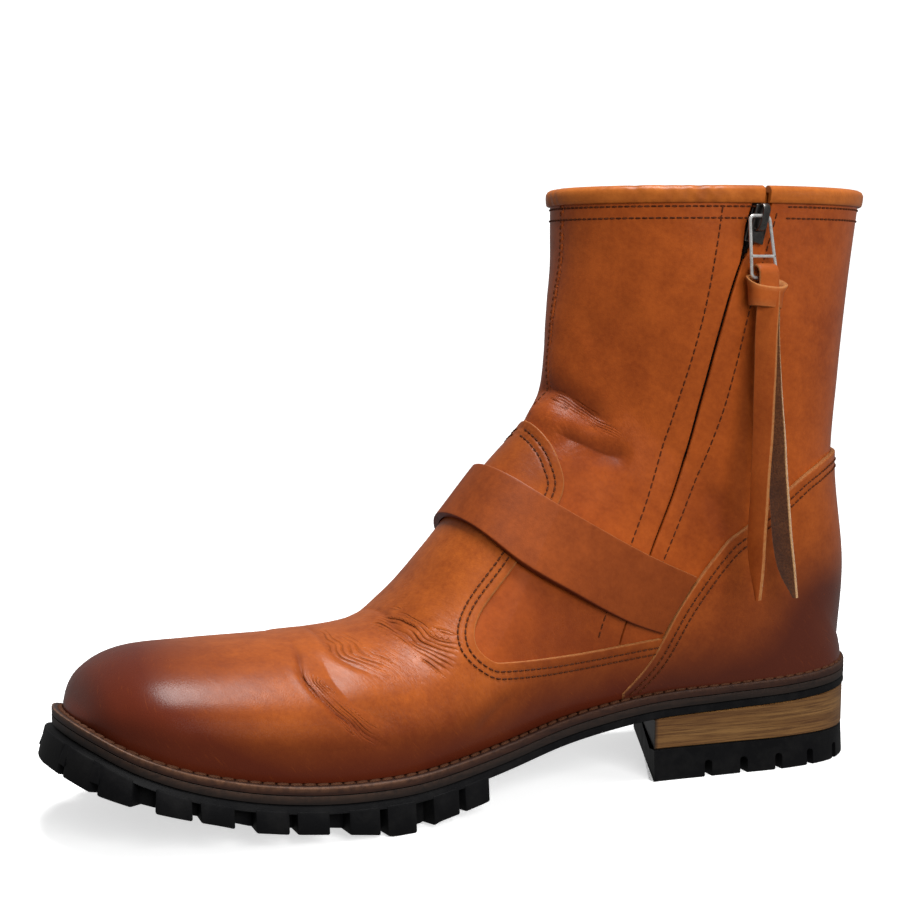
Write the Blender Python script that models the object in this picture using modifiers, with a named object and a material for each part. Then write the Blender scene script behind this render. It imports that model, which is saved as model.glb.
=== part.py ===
"""Engineer boot for the right foot: a short zipped boot on a welted sole with lugs and a stacked heel.

The toe points along -X and the zip is on the inner side, at -Y. Sizes below are in millimetres.
"""
import bmesh
import bpy
import numpy as np
from mathutils import Matrix

MM = 0.001
GAP = 0.3
ORIGIN = 154.5

# Driving dimensions of the sole
BREAST = 209.0
BREAST_SLANT = 34.0
LEDGE = 5.0
HEEL_LEDGE = 3.2
WELT = 2.6
MIDSOLE = 2.7
RUBBER = 2.7
LIFT = 11.4
TOE_FLARE = 4.5
EDGE_FLARE = 1.2

# Driving dimensions of the upper
WALL = 2.2
VAMP_STEP = 1.1
VAMP_RISE = 1.0
VAMP_ROOT = 0.8
COUNTER_LEATHER = 1.4
STRAP_LEATHER = 2.6
COLLAR = 206.5
BINDING_DEPTH = 4.6
BINDING_LEATHER = 1.4
BINDING_ROLL = 1.5
BINDING_ROUND = 0.4
STAY_WIDTH = 13.0
STAY_LEATHER = 1.0

# Fineness of the outlines, and how far cutters reach past what they cut
SOLE_POINTS = 34
HEEL_POINTS = 20
EDGE_POINTS = 22
ZIP_ROWS = 20
STRAP_ROWS = 14
CLEAR = 10.0
CUT_REACH = 90.0

# The sole at the welt's edge, toe to heel
OUTLINE_COLUMNS = ("distance", "centre", "half")
OUTLINE = (
    (4.5, -6.0, 0.0),
    (7.5, -6.0, 18.0),
    (15.0, -5.5, 32.5),
    (28.5, -3.5, 43.5),
    (50.0, -1.0, 49.5),
    (78.0, 0.5, 53.3),
    (108.0, 2.5, 54.0),
    (140.0, 5.0, 49.0),
    (172.0, 6.5, 42.0),
    (204.0, 5.0, 38.0),
    (236.0, 2.5, 37.5),
    (264.0, 1.0, 38.0),
    (286.0, 0.5, 33.0),
    (299.5, 0.5, 19.0),
    (304.0, 0.5, 0.0),
)

# Height of the welt's top: toe spring, ball, arch and heel seat
PROFILE_COLUMNS = ("distance", "height")
PROFILE = (
    (0, 42.5),
    (10, 37.5),
    (21, 32.0),
    (38, 25.8),
    (57, 21.2),
    (80, 18.4),
    (105, 17.8),
    (125, 19.2),
    (150, 22.6),
    (180, 27.6),
    (210, 31.2),
    (240, 32.5),
    (272, 33.9),
    (304, 36.4),
)

# Height of the tread along the sole: it stands under the ball and lifts to the toe and to the arch
TREAD_COLUMNS = ("distance", "height")
TREAD = (
    (0, 24.0),
    (8, 20.3),
    (20, 16.6),
    (43, 10.2),
    (55, 6.6),
    (66, 5.0),
    (80, 3.4),
    (95, 1.3),
    (100.5, 0.0),
    (112.5, 0.0),
    (118, 2.0),
    (126, 3.0),
    (136, 4.4),
    (160, 9.0),
)

# Sections of the foot: each stands on the welt at bottom and leans back to top on the instep line
FOOT_COLUMNS = ("bottom", "top", "top_height", "half", "centre", "ridge", "widest", "crown")
FOOT = (
    (9.5, 9.5, 38.0, 0.0, -6.0, -6.0, 0.30, 2.0),
    (12.0, 11.5, 42.0, 16.2, -6.0, -6.0, 0.30, 2.2),
    (19.0, 17.5, 51.0, 30.2, -5.5, -5.5, 0.30, 2.2),
    (33.0, 31.0, 56.5, 40.5, -4.0, -5.0, 0.30, 2.1),
    (56.0, 54.5, 57.0, 46.8, -1.5, -4.0, 0.30, 2.0),
    (86.0, 85.0, 57.0, 50.2, 0.5, -3.0, 0.28, 1.9),
    (118.0, 114.5, 59.5, 50.0, 2.5, -1.0, 0.27, 1.7),
    (136.0, 128.5, 69.5, 47.5, 3.3, -0.5, 0.27, 1.65),
    (156.0, 141.5, 84.5, 44.5, 4.0, 0.0, 0.27, 1.6),
    (194.0, 161.5, 110.0, 39.5, 4.0, 0.0, 0.30, 1.6),
    (236.0, 176.0, 125.5, 37.5, 2.5, 0.0, 0.33, 1.7),
    (274.0, 182.0, 139.0, 36.8, 1.5, 0.0, 0.36, 1.8),
    (300.8, 184.0, 151.0, 37.5, 1.0, 0.0, 0.40, 1.9),
)

# Sections of the shaft: each runs from the back seam to the front
SHAFT_COLUMNS = ("back", "back_height", "top", "top_height", "half", "centre", "ridge", "widest", "crown")
SHAFT = (
    (302.5, 66.0, 185.0, 161.5, 39.0, 0.5, 0.0, 0.42, 2.0),
    (297.5, 103.0, 186.5, 171.0, 41.5, 0.0, 0.0, 0.45, 2.0),
    (299.0, 138.0, 188.5, 182.5, 45.0, 0.0, 0.0, 0.48, 2.0),
    (302.5, 173.0, 189.0, 195.0, 47.0, 0.0, 0.0, 0.50, 2.0),
    (307.0, COLLAR, 189.0, COLLAR, 48.0, 0.0, 0.0, 0.50, 2.0),
)

# Edges seen from the side, as distance from the toe tip and height
VAMP_EDGE = (
    (175.5, 126.0),
    (178.2, 114.0),
    (175.7, 100.5),
    (155.5, 78.9),
    (141.3, 64.5),
    (137.4, 56.0),
    (141.3, 50.6),
    (149.0, 49.4),
    (180.0, 49.6),
    (209.0, 51.6),
)
COUNTER_EDGE = (
    (284.0, 112.5),
    (273.0, 109.5),
    (262.0, 104.0),
    (245.0, 90.2),
    (233.0, 81.0),
    (217.0, 62.5),
    (206.0, 44.0),
    (196.0, 32.5),
)
ZIP_LINE = (
    (243.5, 212.0),
    (238.8, 196.0),
    (232.3, 177.5),
    (228.0, 158.0),
    (222.0, 121.0),
    (216.5, 102.5),
    (206.0, 81.0),
    (196.0, 58.5),
    (193.0, 49.0),
)
SLOT_COLUMNS = ("height", "half")
SLOT = ((COLLAR, 2.2), (202.0, 4.3), (186.5, 4.3), (178.0, 2.0), (49.0, 1.9))

# The strap from the counter's edge to the instep
STRAP_COLUMNS = ("top", "top_height", "bottom", "bottom_height", "lift", "leather")
STRAP = (
    (223.4, 72.4, 209.7, 53.4, 0.35, 1.2),
    (206.0, 80.1, 195.0, 59.0, 0.8, 1.75),
    (187.8, 89.6, 176.0, 68.5, 1.5, STRAP_LEATHER),
    (172.0, 99.5, 158.0, 79.5, 1.5, STRAP_LEATHER),
    (160.8, 109.1, 147.6, 92.2, 1.5, STRAP_LEATHER),
)

# Zip slider, pull and thong
SLIDER = (84.2, -47.4, 194.6)
SLIDER_SIZE = (6.0, 3.6, 13.0)
SLIDER_LEAN = 0.26
BRIDGE_SIZE = (2.4, 4.6, 7.0)
BRIDGE_ROOT = 0.8
HINGE_REACH = 1.7
HINGE_ROOM = 0.4
WIRE = 0.85
WIRE_CORNER = 1.2
PULL_TOP = 197.5
PULL_COLUMNS = ("height", "x", "half")
PULL = (
    (PULL_TOP, -1.0, 3.4),
    (183.8, 0.0, 4.9),
    (176.5, 0.8, 5.1),
)
THONG = 1.5
LOOP_ROOM = 0.5
LOOP_RADIUS = 2.1
LOOP_HEIGHT = 177.9
KNOT = (12.5, 8.0, 9.0)
KNOT_PLACE = (1.0, -0.4, 171.0)
TAIL_COLUMNS = ("height", "x", "y", "half", "turn")
FRONT_TAIL = (
    (172.0, 1.3, -1.9, 3.8, -0.7),
    (135.0, -0.6, -2.8, 3.8, -1.05),
    (106.0, -1.9, -3.2, 3.6, -1.24),
    (82.0, -3.1, -3.2, 3.4, -1.3),
    (66.5, -4.0, -5.8, 0.7, -1.3),
)
BACK_TAIL = (
    (172.0, 3.7, 1.5, 3.6, -0.45),
    (140.0, 5.2, 1.4, 3.6, -0.7),
    (105.0, 8.6, 1.0, 3.6, -1.1),
    (78.0, 11.6, 0.8, 3.5, -1.15),
    (65.5, 14.2, -1.9, 0.7, -1.15),
)

COLOURS = {
    "leather": ((0.42, 0.135, 0.035), 0.45, 0.0),
    "leather_edge": ((0.45, 0.16, 0.05), 0.5, 0.0),
    "insole_leather": ((0.5, 0.3, 0.16), 0.7, 0.0),
    "welt": ((0.11, 0.05, 0.025), 0.6, 0.0),
    "midsole": ((0.06, 0.03, 0.018), 0.6, 0.0),
    "rubber": ((0.012, 0.012, 0.012), 0.75, 0.0),
    "stacked_heel": ((0.42, 0.25, 0.1), 0.6, 0.0),
    "zip_cloth": ((0.03, 0.02, 0.015), 0.9, 0.0),
    "gunmetal": ((0.12, 0.115, 0.11), 0.3, 1.0),
    "steel": ((0.55, 0.55, 0.55), 0.25, 1.0),
}


def clear_scene():
    for item in list(bpy.data.objects):
        bpy.data.objects.remove(item, do_unlink=True)


def new_collection(name):
    collection = bpy.data.collections.new(name)
    bpy.context.scene.collection.children.link(collection)
    return collection


def material(name):
    made = bpy.data.materials.get(name)
    if made:
        return made
    colour, roughness, metallic = COLOURS[name]
    made = bpy.data.materials.new(name)
    made.use_nodes = True
    shader = made.node_tree.nodes["Principled BSDF"]
    shader.inputs["Base Color"].default_value = (*colour, 1.0)
    shader.inputs["Roughness"].default_value = roughness
    shader.inputs["Metallic"].default_value = metallic
    return made


def column(table, names, name):
    return np.array([row[names.index(name)] for row in table], float)


def spline(values, at, ends=(-1, -1)):
    """A smooth curve through evenly spaced values; an end of 1 is level there, and -1 runs straight on."""
    values = np.asarray(values, float)
    head = values[0] + ends[0] * (values[1] - values[0])
    tail = values[-1] + ends[1] * (values[-2] - values[-1])
    padded = np.concatenate([[head], values, [tail]])
    at = np.clip(np.asarray(at, float), 0, len(values) - 1)
    index = np.minimum(at.astype(int), len(values) - 2)
    part = at - index
    before, low, high, after = (padded[index + k] for k in range(4))
    bend = 2 * before - 5 * low + 4 * high - after
    return low + 0.5 * part * (high - before + part * (bend + part * (3 * (low - high) + after - before)))


def smooth_line(points, count):
    """Points along a smooth line through a few points."""
    at = np.linspace(0, len(points) - 1, count)
    return np.column_stack([spline(values, at) for values in np.array(points, float).T])


FINE = 60
OUTLINE_AT = np.linspace(0, len(OUTLINE) - 1, FINE * (len(OUTLINE) - 1) + 1)
OUTLINE_DISTANCE = spline(column(OUTLINE, OUTLINE_COLUMNS, "distance"), OUTLINE_AT, (1, 1))
OUTLINE_CENTRE = spline(column(OUTLINE, OUTLINE_COLUMNS, "centre"), OUTLINE_AT, (1, 1))
OUTLINE_HALF = np.maximum(spline(column(OUTLINE, OUTLINE_COLUMNS, "half"), OUTLINE_AT), 0)
PROFILE_AT = np.linspace(0, len(PROFILE) - 1, FINE * (len(PROFILE) - 1) + 1)
PROFILE_DISTANCE = spline(column(PROFILE, PROFILE_COLUMNS, "distance"), PROFILE_AT)
PROFILE_HEIGHT = spline(column(PROFILE, PROFILE_COLUMNS, "height"), PROFILE_AT)
# The ledge that the welt shows outside the upper, and the flare of the rubber's edge
FEATHER = np.interp(OUTLINE_DISTANCE, (170, 235), (LEDGE, HEEL_LEDGE))
FLARE = np.interp(OUTLINE_DISTANCE, (4.5, 45, 130, 170), (TOE_FLARE, 1.5 * EDGE_FLARE, EDGE_FLARE, 0.0))


def edge(side, inset):
    """Distance and y along one edge of the sole, moved inwards by inset."""
    y = OUTLINE_CENTRE + side * OUTLINE_HALF
    along = np.gradient(OUTLINE_DISTANCE)
    across = np.gradient(y)
    along[[0, -1]] = 0
    across[[0, -1]] = side, -side
    length = np.hypot(along, across)
    return OUTLINE_DISTANCE + side * inset * across / length, y - side * inset * along / length


def edge_y(distance, side, inset):
    """y of one edge of the sole at a distance from the toe tip."""
    along, y = edge(side, inset)
    rising = np.concatenate([[True], np.diff(np.maximum.accumulate(along)) > 0])
    return np.interp(distance, along[rising], y[rising])


def welt_top(distance):
    return np.interp(distance, PROFILE_DISTANCE, PROFILE_HEIGHT)


def floor(distance):
    """Height of the tread under the edge and the middle of the sole."""
    return np.interp(distance, *(column(TREAD, TREAD_COLUMNS, name) for name in TREAD_COLUMNS))


HEEL_ROW = len(FOOT) - 1
LAST_ROW = len(FOOT) + len(SHAFT) - 1
VAMP_LAST_ROW = 11
COUNTER_ROWS = (8.5, 15.5)
COLUMNS = np.linspace(-1, 1, 23)


def section(u):
    """Bottom, top and shape of the upper's section at u, counted in rows of the tables from the toe."""
    foot = spline(column(FOOT, FOOT_COLUMNS, "bottom"), np.minimum(u, HEEL_ROW), (1, 1))
    inner, outer = (edge_y(foot, side, FEATHER) for side in (-1, 1))
    heel = FOOT[-1][0]
    climb = np.maximum(u - HEEL_ROW, 0)
    back = spline([heel, *column(SHAFT, SHAFT_COLUMNS, "back")], climb)
    back_height = spline([welt_top(heel) + GAP, *column(SHAFT, SHAFT_COLUMNS, "back_height")], climb)
    on_shaft = u > HEEL_ROW
    shape = {
        "bottom": np.where(on_shaft, back, foot) - ORIGIN,
        "bottom_height": np.where(on_shaft, back_height, welt_top(foot) + GAP),
        "bottom_half": np.where(on_shaft, 0, np.maximum(outer - inner, 0) / 2),
        "bottom_centre": (outer + inner) / 2,
    }
    for name in FOOT_COLUMNS[1:]:
        values = [*column(FOOT, FOOT_COLUMNS, name), *column(SHAFT, SHAFT_COLUMNS, name)]
        if name == "top_height":
            values[0] = welt_top(FOOT[0][0]) + GAP
        round_toe = -1 if name in ("half", "top_height") else 1
        shape[name] = spline(values, u, (round_toe, -1))
    shape["top"] = shape["top"] - ORIGIN
    return shape


def surface(u, v):
    """The upper's outside: v runs from -1, inner bottom, over 0, the ridge, to 1, outer bottom."""
    u, v = np.broadcast_arrays(np.asarray(u, float), np.asarray(v, float))
    row = section(u)
    rise = np.cos(np.pi * v / 2) ** 2
    low = np.clip(rise / row["widest"], 0, 1)
    high = np.clip((rise - row["widest"]) / (1 - row["widest"]), 0, 1)
    half = np.maximum(row["half"], 1.02 * row["bottom_half"])
    upright = 0.5 + 0.5 * row["bottom_half"] / np.maximum(half, GAP)
    swell = row["bottom_half"] + (half - row["bottom_half"]) * (1 - (1 - low) ** 2) ** upright
    width = np.where(low < 1, swell, half * np.sqrt(1 - high ** row["crown"]))
    shift = row["bottom_centre"] + (row["centre"] - row["bottom_centre"]) * low
    centre = shift + (row["ridge"] - row["centre"]) * high
    x = row["bottom"] + (row["top"] - row["bottom"]) * rise
    z = row["bottom_height"] + (row["top_height"] - row["bottom_height"]) * rise
    return np.stack([x, centre + np.sign(v) * width, z], -1)


def normal(u, v, step=0.001):
    """Outward direction of the upper's outside."""
    u, v = np.broadcast_arrays(np.asarray(u, float), np.asarray(v, float))
    toe = u < 0.02
    u = np.maximum(u, 0.02)
    round_back = u >= HEEL_ROW
    ahead = np.where((v + step > 1) & round_back, v + step - 2, np.minimum(v + step, 1))
    behind = np.where((v - step < -1) & round_back, v - step + 2, np.maximum(v - step, -1))
    along = surface(np.minimum(u + step, LAST_ROW), v) - surface(u - step, v)
    across = surface(u, ahead) - surface(u, behind)
    out = np.cross(along, across)
    out[toe] = (-1, 0, 0)
    return out / np.linalg.norm(out, axis=-1, keepdims=True)


def skin(u, v, offset):
    """The outside moved by offset; the bottom edge of the foot moves level."""
    u, v, offset = np.broadcast_arrays(*(np.asarray(item, float) for item in (u, v, offset)))
    move = offset[..., None] * normal(u, v)
    bottom = (np.abs(v) > 0.999) & (u <= HEEL_ROW)
    flat = move[bottom] * (1, 1, 0)
    size = np.abs(offset[bottom])[:, None]
    move[bottom] = size * flat / np.maximum(np.linalg.norm(flat, axis=-1, keepdims=True), 1e-9)
    return surface(u, v) + move


def locate(distance, height):
    """u and v, on the inner side, of points given by distance from the toe tip and height."""
    x, z = np.broadcast_arrays(np.asarray(distance, float) - ORIGIN, np.asarray(height, float))
    low = np.zeros(x.shape)
    high = np.full(x.shape, float(LAST_ROW))
    for _ in range(40):
        u = (low + high) / 2
        row = section(u)
        run = row["top"] - row["bottom"]
        lift = row["top_height"] - row["bottom_height"]
        ahead = run * (z - row["bottom_height"]) < lift * (x - row["bottom"])
        low = np.where(ahead, u, low)
        high = np.where(ahead, high, u)
    rise = ((x - row["bottom"]) * run + (z - row["bottom_height"]) * lift) / (run ** 2 + lift ** 2)
    return u, -2 / np.pi * np.arccos(np.sqrt(np.clip(rise, 0, 1)))


def add_mesh(name, points, faces, finish, collection):
    """An object from points in millimetres; points that coincide are welded and faces turned outwards."""
    shape = bmesh.new()
    corners = [shape.verts.new(MM * point) for point in np.asarray(points, float)]
    for face in faces:
        shape.faces.new([corners[index] for index in dict.fromkeys(face)])
    bmesh.ops.remove_doubles(shape, verts=shape.verts, dist=0.000002)
    bmesh.ops.recalc_face_normals(shape, faces=shape.faces)
    mesh = bpy.data.meshes.new(name)
    shape.to_mesh(mesh)
    shape.free()
    mesh.shade_smooth()
    mesh.set_sharp_from_angle(angle=0.7)
    if finish:
        mesh.materials.append(material(finish))
    made = bpy.data.objects.new(name, mesh)
    collection.objects.link(made)
    return made


def as_cutter(item):
    item.hide_render = True
    item.display_type = "WIRE"
    return item


def combine(item, other, operation):
    """A Boolean of item with other."""
    step = item.modifiers.new(operation.lower(), "BOOLEAN")
    step.operation = operation
    step.object = other
    step.solver = "EXACT"


def grid_faces(rows, columns, first=0, flip=False):
    """Triangles of a grid of points, from the index first, with the same diagonals on every offset."""
    faces = []
    for i in range(rows - 1):
        for j in range(columns - 1):
            a = first + i * columns + j
            c = a + columns + 1
            pair = [(a, a + columns, c), (a, c, a + 1)]
            faces += [face[::-1] for face in pair] if flip else pair
    return faces


def slab(name, outside, inside, finish, collection, closed=None):
    """A closed sheet between two grids of points; closed tells which rows have no edge to close."""
    rows, columns = outside.shape[:2]
    count = rows * columns
    points = np.concatenate([outside.reshape(-1, 3), inside.reshape(-1, 3)])
    faces = grid_faces(rows, columns) + grid_faces(rows, columns, count, True)
    for i in range(rows - 1):
        if closed is not None and closed[i]:
            continue
        for j in (0, columns - 1):
            a = i * columns + j
            faces.append((a, a + columns, a + columns + count, a + count))
    for i in (0, rows - 1):
        for j in range(columns - 1):
            a = i * columns + j
            faces.append((a, a + 1, a + 1 + count, a + count))
    return add_mesh(name, points, faces, finish, collection)


def shell(name, rows, inside, outside, finish, collection):
    """The upper's skin between two offsets, over rows of sections."""
    u, v = np.meshgrid(rows, COLUMNS, indexing="ij")
    joined = (rows[1:] + rows[:-1]) / 2 > HEEL_ROW
    return slab(name, skin(u, v, outside), skin(u, v, inside), finish, collection, joined)


def prism(name, outline, low, high, collection):
    """A cutter: a side view outline, as distance and height, drawn out between two values of y."""
    outline = np.asarray(outline, float)
    count = len(outline)
    points = [(distance - ORIGIN, y, height) for y in (low, high) for distance, height in outline]
    faces = [tuple(range(count)), tuple(range(2 * count - 1, count - 1, -1))]
    faces += [(i, (i + 1) % count, (i + 1) % count + count, i + count) for i in range(count)]
    return as_cutter(add_mesh(name, points, faces, None, collection))


def block(name, centre, size, finish, collection, bevel=0.0):
    """A box with its edges rounded."""
    shape = bmesh.new()
    bmesh.ops.create_cube(shape, size=1, matrix=Matrix.Diagonal((*(MM * side for side in size), 1)))
    mesh = bpy.data.meshes.new(name)
    shape.to_mesh(mesh)
    shape.free()
    if finish:
        mesh.materials.append(material(finish))
    made = bpy.data.objects.new(name, mesh)
    made.location = [MM * value for value in centre]
    collection.objects.link(made)
    if bevel:
        rounding = made.modifiers.new("rounded", "BEVEL")
        rounding.width = MM * bevel
        rounding.segments = 2
        rounding.limit_method = "NONE"
    return made


def outline_loop(inset, start=None, count=SOLE_POINTS):
    """A closed loop of distance and y round the sole, or round its heel from a slanted breast back."""
    tips = edge(1, inset)[0][[0, -1]]
    if start is None:
        share = (1 - np.cos(np.linspace(0, np.pi, count))) / 2
        distance = tips[0] + share * (tips[1] - tips[0])
    else:
        share = np.sin(np.linspace(0, np.pi / 2, count))
        distance = start + share * (tips[1] - start)
    slant = 0 if start is None else BREAST_SLANT * (1 - share)
    inner, outer = (edge_y(along, side, inset) for along, side in ((distance, -1), (distance + slant, 1)))
    middle = (inner + outer) / 2
    inner[-1] = outer[-1] = middle[-1]
    if start is None:
        inner[0] = outer[0] = middle[0]
    there = np.column_stack([distance, inner])
    back = np.column_stack([distance + slant, outer])[::-1]
    return np.concatenate([there, back])


def layer(name, levels, finish, collection, start=None, ring=False, count=SOLE_POINTS):
    """A layer of the sole; levels run down its edge, each an inset from the outline and a height."""
    loops = []
    for inset, height in levels:
        loop = outline_loop(inset, start, count)
        loops.append(np.column_stack([loop[:, 0] - ORIGIN, loop[:, 1], height(loop[:, 0])]))
    length = 2 * count
    faces = []
    walls = len(levels) if ring else len(levels) - 1
    for a in range(walls):
        b = (a + 1) % len(levels)
        for i in range(length):
            j = (i + 1) % length
            faces.append((a * length + i, a * length + j, b * length + j, b * length + i))
    if not ring:
        for first in (0, (len(levels) - 1) * length):
            for i in range(count - 1):
                a, b = first + i, first + length - 1 - i
                faces.append((a, a + 1, b - 1, b))
    return add_mesh(name, np.concatenate(loops), faces, finish, collection)


def below_welt(depth):
    return lambda distance: welt_top(distance) - depth


def level(height):
    return lambda distance: np.full(np.shape(distance), float(height))


MIDSOLE_TOP = WELT + GAP
RUBBER_TOP = MIDSOLE_TOP + MIDSOLE + GAP
RUBBER_BOTTOM = RUBBER_TOP + RUBBER
SEAT_ROOM = 0.8
SOLE_ROUND = 0.5
INSOLE_ROUND = 2.5
INSOLE_CROWN = 1.2

LUG_START = 14.0
LUG_PITCH = 15.1
LUG_COUNT = 11
LUG_DEPTH = 20.0
LUG_PROUD = 0.25
LUG_ROOT = 1.0
RUBBER_TUCK = 0.2
RUBBER_FLARE = 0.45
WIDE_GAP = 6.5
NARROW_GAP = 2.4
STUDS = (42.0, 64.0, 85.0, 106.5, 128.5)
STUD_SIZE = (11.0, 38.0)


def lug_spans():
    """Start and end of each lug, as arc length from the toe tip along one edge."""
    gaps = [NARROW_GAP if k < 2 or k % 2 else WIDE_GAP for k in range(LUG_COUNT)]
    centres = [LUG_START + LUG_PITCH * k for k in range(LUG_COUNT)]
    spans = []
    for k in range(LUG_COUNT - 1):
        spans.append((centres[k] + gaps[k] / 2, centres[k + 1] - gaps[k + 1] / 2))
    return spans, centres[0] - gaps[0] / 2


def edge_at(arc, inset):
    """Distance and y at an arc length from the toe tip, plus on the outer edge and minus on the inner."""
    side = 1 if arc >= 0 else -1
    run, y = edge(side, 0.0)
    length = np.concatenate([[0], np.cumsum(np.hypot(np.diff(run), np.diff(y)))])
    moved, moved_y = edge(side, inset)
    return np.interp(abs(arc), length, moved), np.interp(abs(arc), length, moved_y)


def lug(arcs, collection, name):
    """One lug of the edge: it carries on the flare of the rubber and reaches in under the sole."""
    outside = []
    inside = []
    root = RUBBER_BOTTOM - LUG_ROOT
    for arc in arcs:
        for row, high, low in ((outside, -RUBBER_FLARE * FLARE - LUG_PROUD, -FLARE - LUG_PROUD),
                               (inside, LUG_DEPTH, LUG_DEPTH)):
            distance, y = edge_at(arc, high)
            foot, foot_y = edge_at(arc, low)
            top = (distance - ORIGIN, y, welt_top(distance) - root)
            row.append([top, (foot - ORIGIN, foot_y, floor(foot))])
    return slab(name, np.array(outside), np.array(inside), None, collection)


def make_outsole(parts, cutters):
    levels = ((RUBBER_TUCK, below_welt(RUBBER_TOP)), (-RUBBER_FLARE * FLARE, below_welt(RUBBER_BOTTOM)))
    rubber = layer("outsole", levels, "rubber", parts)
    spans, toe = lug_spans()
    lugs = [lug(np.linspace(-toe, toe, 7), cutters, "toe_lug")]
    for side in (-1, 1):
        for start, end in spans:
            lugs.append(lug(side * np.linspace(start, end, 3), cutters, "edge_lug"))
    for distance in STUDS:
        middle = float(np.interp(distance, OUTLINE_DISTANCE, OUTLINE_CENTRE))
        top = float(welt_top(distance)) - RUBBER_BOTTOM + LUG_ROOT
        low = float(floor(distance + STUD_SIZE[0] / 2).clip(floor(distance - STUD_SIZE[0] / 2)))
        size = (*STUD_SIZE, top - low)
        lugs.append(block("stud", (distance - ORIGIN, middle, (top + low) / 2), size, None, cutters))
    for item in lugs:
        combine(rubber, as_cutter(item), "UNION")


HEEL_INSETS = (0.5, 0.7, 0.8, 0.3)
NOTCH_START = 21.5
NOTCH_PITCH = 14.2
NOTCH_SIZE = (3.0, 18.0, 12.0)


def make_heel(parts, cutters):
    high, low, lift_high, lift_low = HEEL_INSETS
    levels = ((high, below_welt(RUBBER_BOTTOM + GAP)), (low, level(LIFT + GAP)))
    layer("heel_block", levels, "stacked_heel", parts, BREAST, False, HEEL_POINTS)
    levels = ((lift_high, level(LIFT)), (lift_low, level(0)))
    lift = layer("heel_lift", levels, "rubber", parts, BREAST, False, HEEL_POINTS)
    loop = outline_loop(lift_low, BREAST, 10 * HEEL_POINTS)
    arc = np.concatenate([[0], np.cumsum(np.hypot(*np.diff(loop, axis=0).T))])
    for place in np.arange(NOTCH_START, arc[-1] - NOTCH_PITCH, NOTCH_PITCH):
        distance, y = (float(np.interp(place, arc, values)) for values in loop.T)
        ahead, ahead_y = (float(np.interp(place + 1, arc, values)) for values in loop.T)
        notch = block("notch", (distance - ORIGIN, y, 0), NOTCH_SIZE, None, cutters)
        notch.rotation_euler.z = np.arctan2(ahead_y - y, ahead - distance)
        combine(lift, as_cutter(notch), "DIFFERENCE")


def make_sole(parts, cutters):
    seat = FEATHER + WALL + SEAT_ROOM
    layer("welt", ((seat, below_welt(0)), (SOLE_ROUND, below_welt(0)), (0.0, below_welt(SOLE_ROUND)),
                   (0.0, below_welt(WELT)), (seat, below_welt(WELT))), "welt", parts, ring=True)
    layer("midsole", ((SOLE_ROUND / 2, below_welt(MIDSOLE_TOP)), (0.0, below_welt(MIDSOLE_TOP + SOLE_ROUND)),
                      (SOLE_ROUND / 2, below_welt(MIDSOLE_TOP + MIDSOLE))), "midsole", parts)
    layer("insole", ((seat + INSOLE_ROUND, below_welt(-INSOLE_CROWN)), (seat + GAP, below_welt(GAP)),
                     (seat + GAP, below_welt(WELT))), "insole_leather", parts)
    make_outsole(parts, cutters)
    make_heel(parts, cutters)


def foot_rows(start, end):
    """Rows of sections, closer together round the toe and round the heel."""
    ankle = HEEL_ROW + 2
    steps = ((0, 3, 9), (3, 11, 15), (11, HEEL_ROW, 4), (HEEL_ROW, ankle, 4), (ankle, LAST_ROW, 4))
    rows = np.concatenate([np.linspace(low, high, count, endpoint=False) for low, high, count in steps])
    rows = np.append(rows, LAST_ROW)
    return rows[(rows >= start) & (rows <= end)]


def zip_distance(height):
    """Distance from the toe tip of the zip's middle at a height."""
    line = smooth_line(ZIP_LINE, FINE)[::-1]
    return np.interp(height, line[:, 1], line[:, 0])


def zip_outline(low, high, half):
    """The band of side view points to each side of the zip, between two heights."""
    height = np.linspace(low, high, ZIP_ROWS)
    turns = column(SLOT, SLOT_COLUMNS, "height")
    height = np.union1d(height, turns[(turns > low) & (turns < high)])
    middle = zip_distance(height)
    front = np.column_stack([middle - half(height), height])
    behind = np.column_stack([middle + half(height), height])
    return front, behind


def slot_half(height):
    rows = SLOT[::-1]
    return np.interp(height, column(rows, SLOT_COLUMNS, "height"), column(rows, SLOT_COLUMNS, "half"))


def above_welt(start, end, rise):
    """Side view points a little above the welt, from one distance to another."""
    distance = np.linspace(start, end, EDGE_POINTS)
    return np.column_stack([distance, welt_top(distance) + rise])


def make_upper(parts, cutters):
    upper = shell("upper", foot_rows(0, LAST_ROW), -WALL, 0.0, "leather", parts)
    rows = foot_rows(0, VAMP_LAST_ROW)
    vamp = as_cutter(shell("vamp_step", rows, -VAMP_ROOT, VAMP_STEP, "leather", cutters))
    counter_line = smooth_line(COUNTER_EDGE, EDGE_POINTS)
    behind = counter_line[counter_line[:, 1] < VAMP_EDGE[-1][1]] - (2 * GAP, 0)
    bottom = above_welt(behind[-1][0], -CLEAR, VAMP_RISE)
    corners = [(-CLEAR, VAMP_EDGE[0][1] + CLEAR), (VAMP_EDGE[0][0], VAMP_EDGE[0][1] + CLEAR)]
    outline = [*corners, *smooth_line(VAMP_EDGE, EDGE_POINTS), *behind[behind[:, 1] > bottom[0, 1]], *bottom]
    combine(vamp, prism("vamp_outline", outline, -CUT_REACH, CUT_REACH, cutters), "INTERSECT")
    combine(upper, vamp, "UNION")
    front, behind = zip_outline(SLOT[-1][0], ZIP_LINE[0][1], slot_half)
    combine(upper, prism("zip_slot", [*front, *behind[::-1]], -CUT_REACH, -CLEAR, cutters), "DIFFERENCE")


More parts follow.
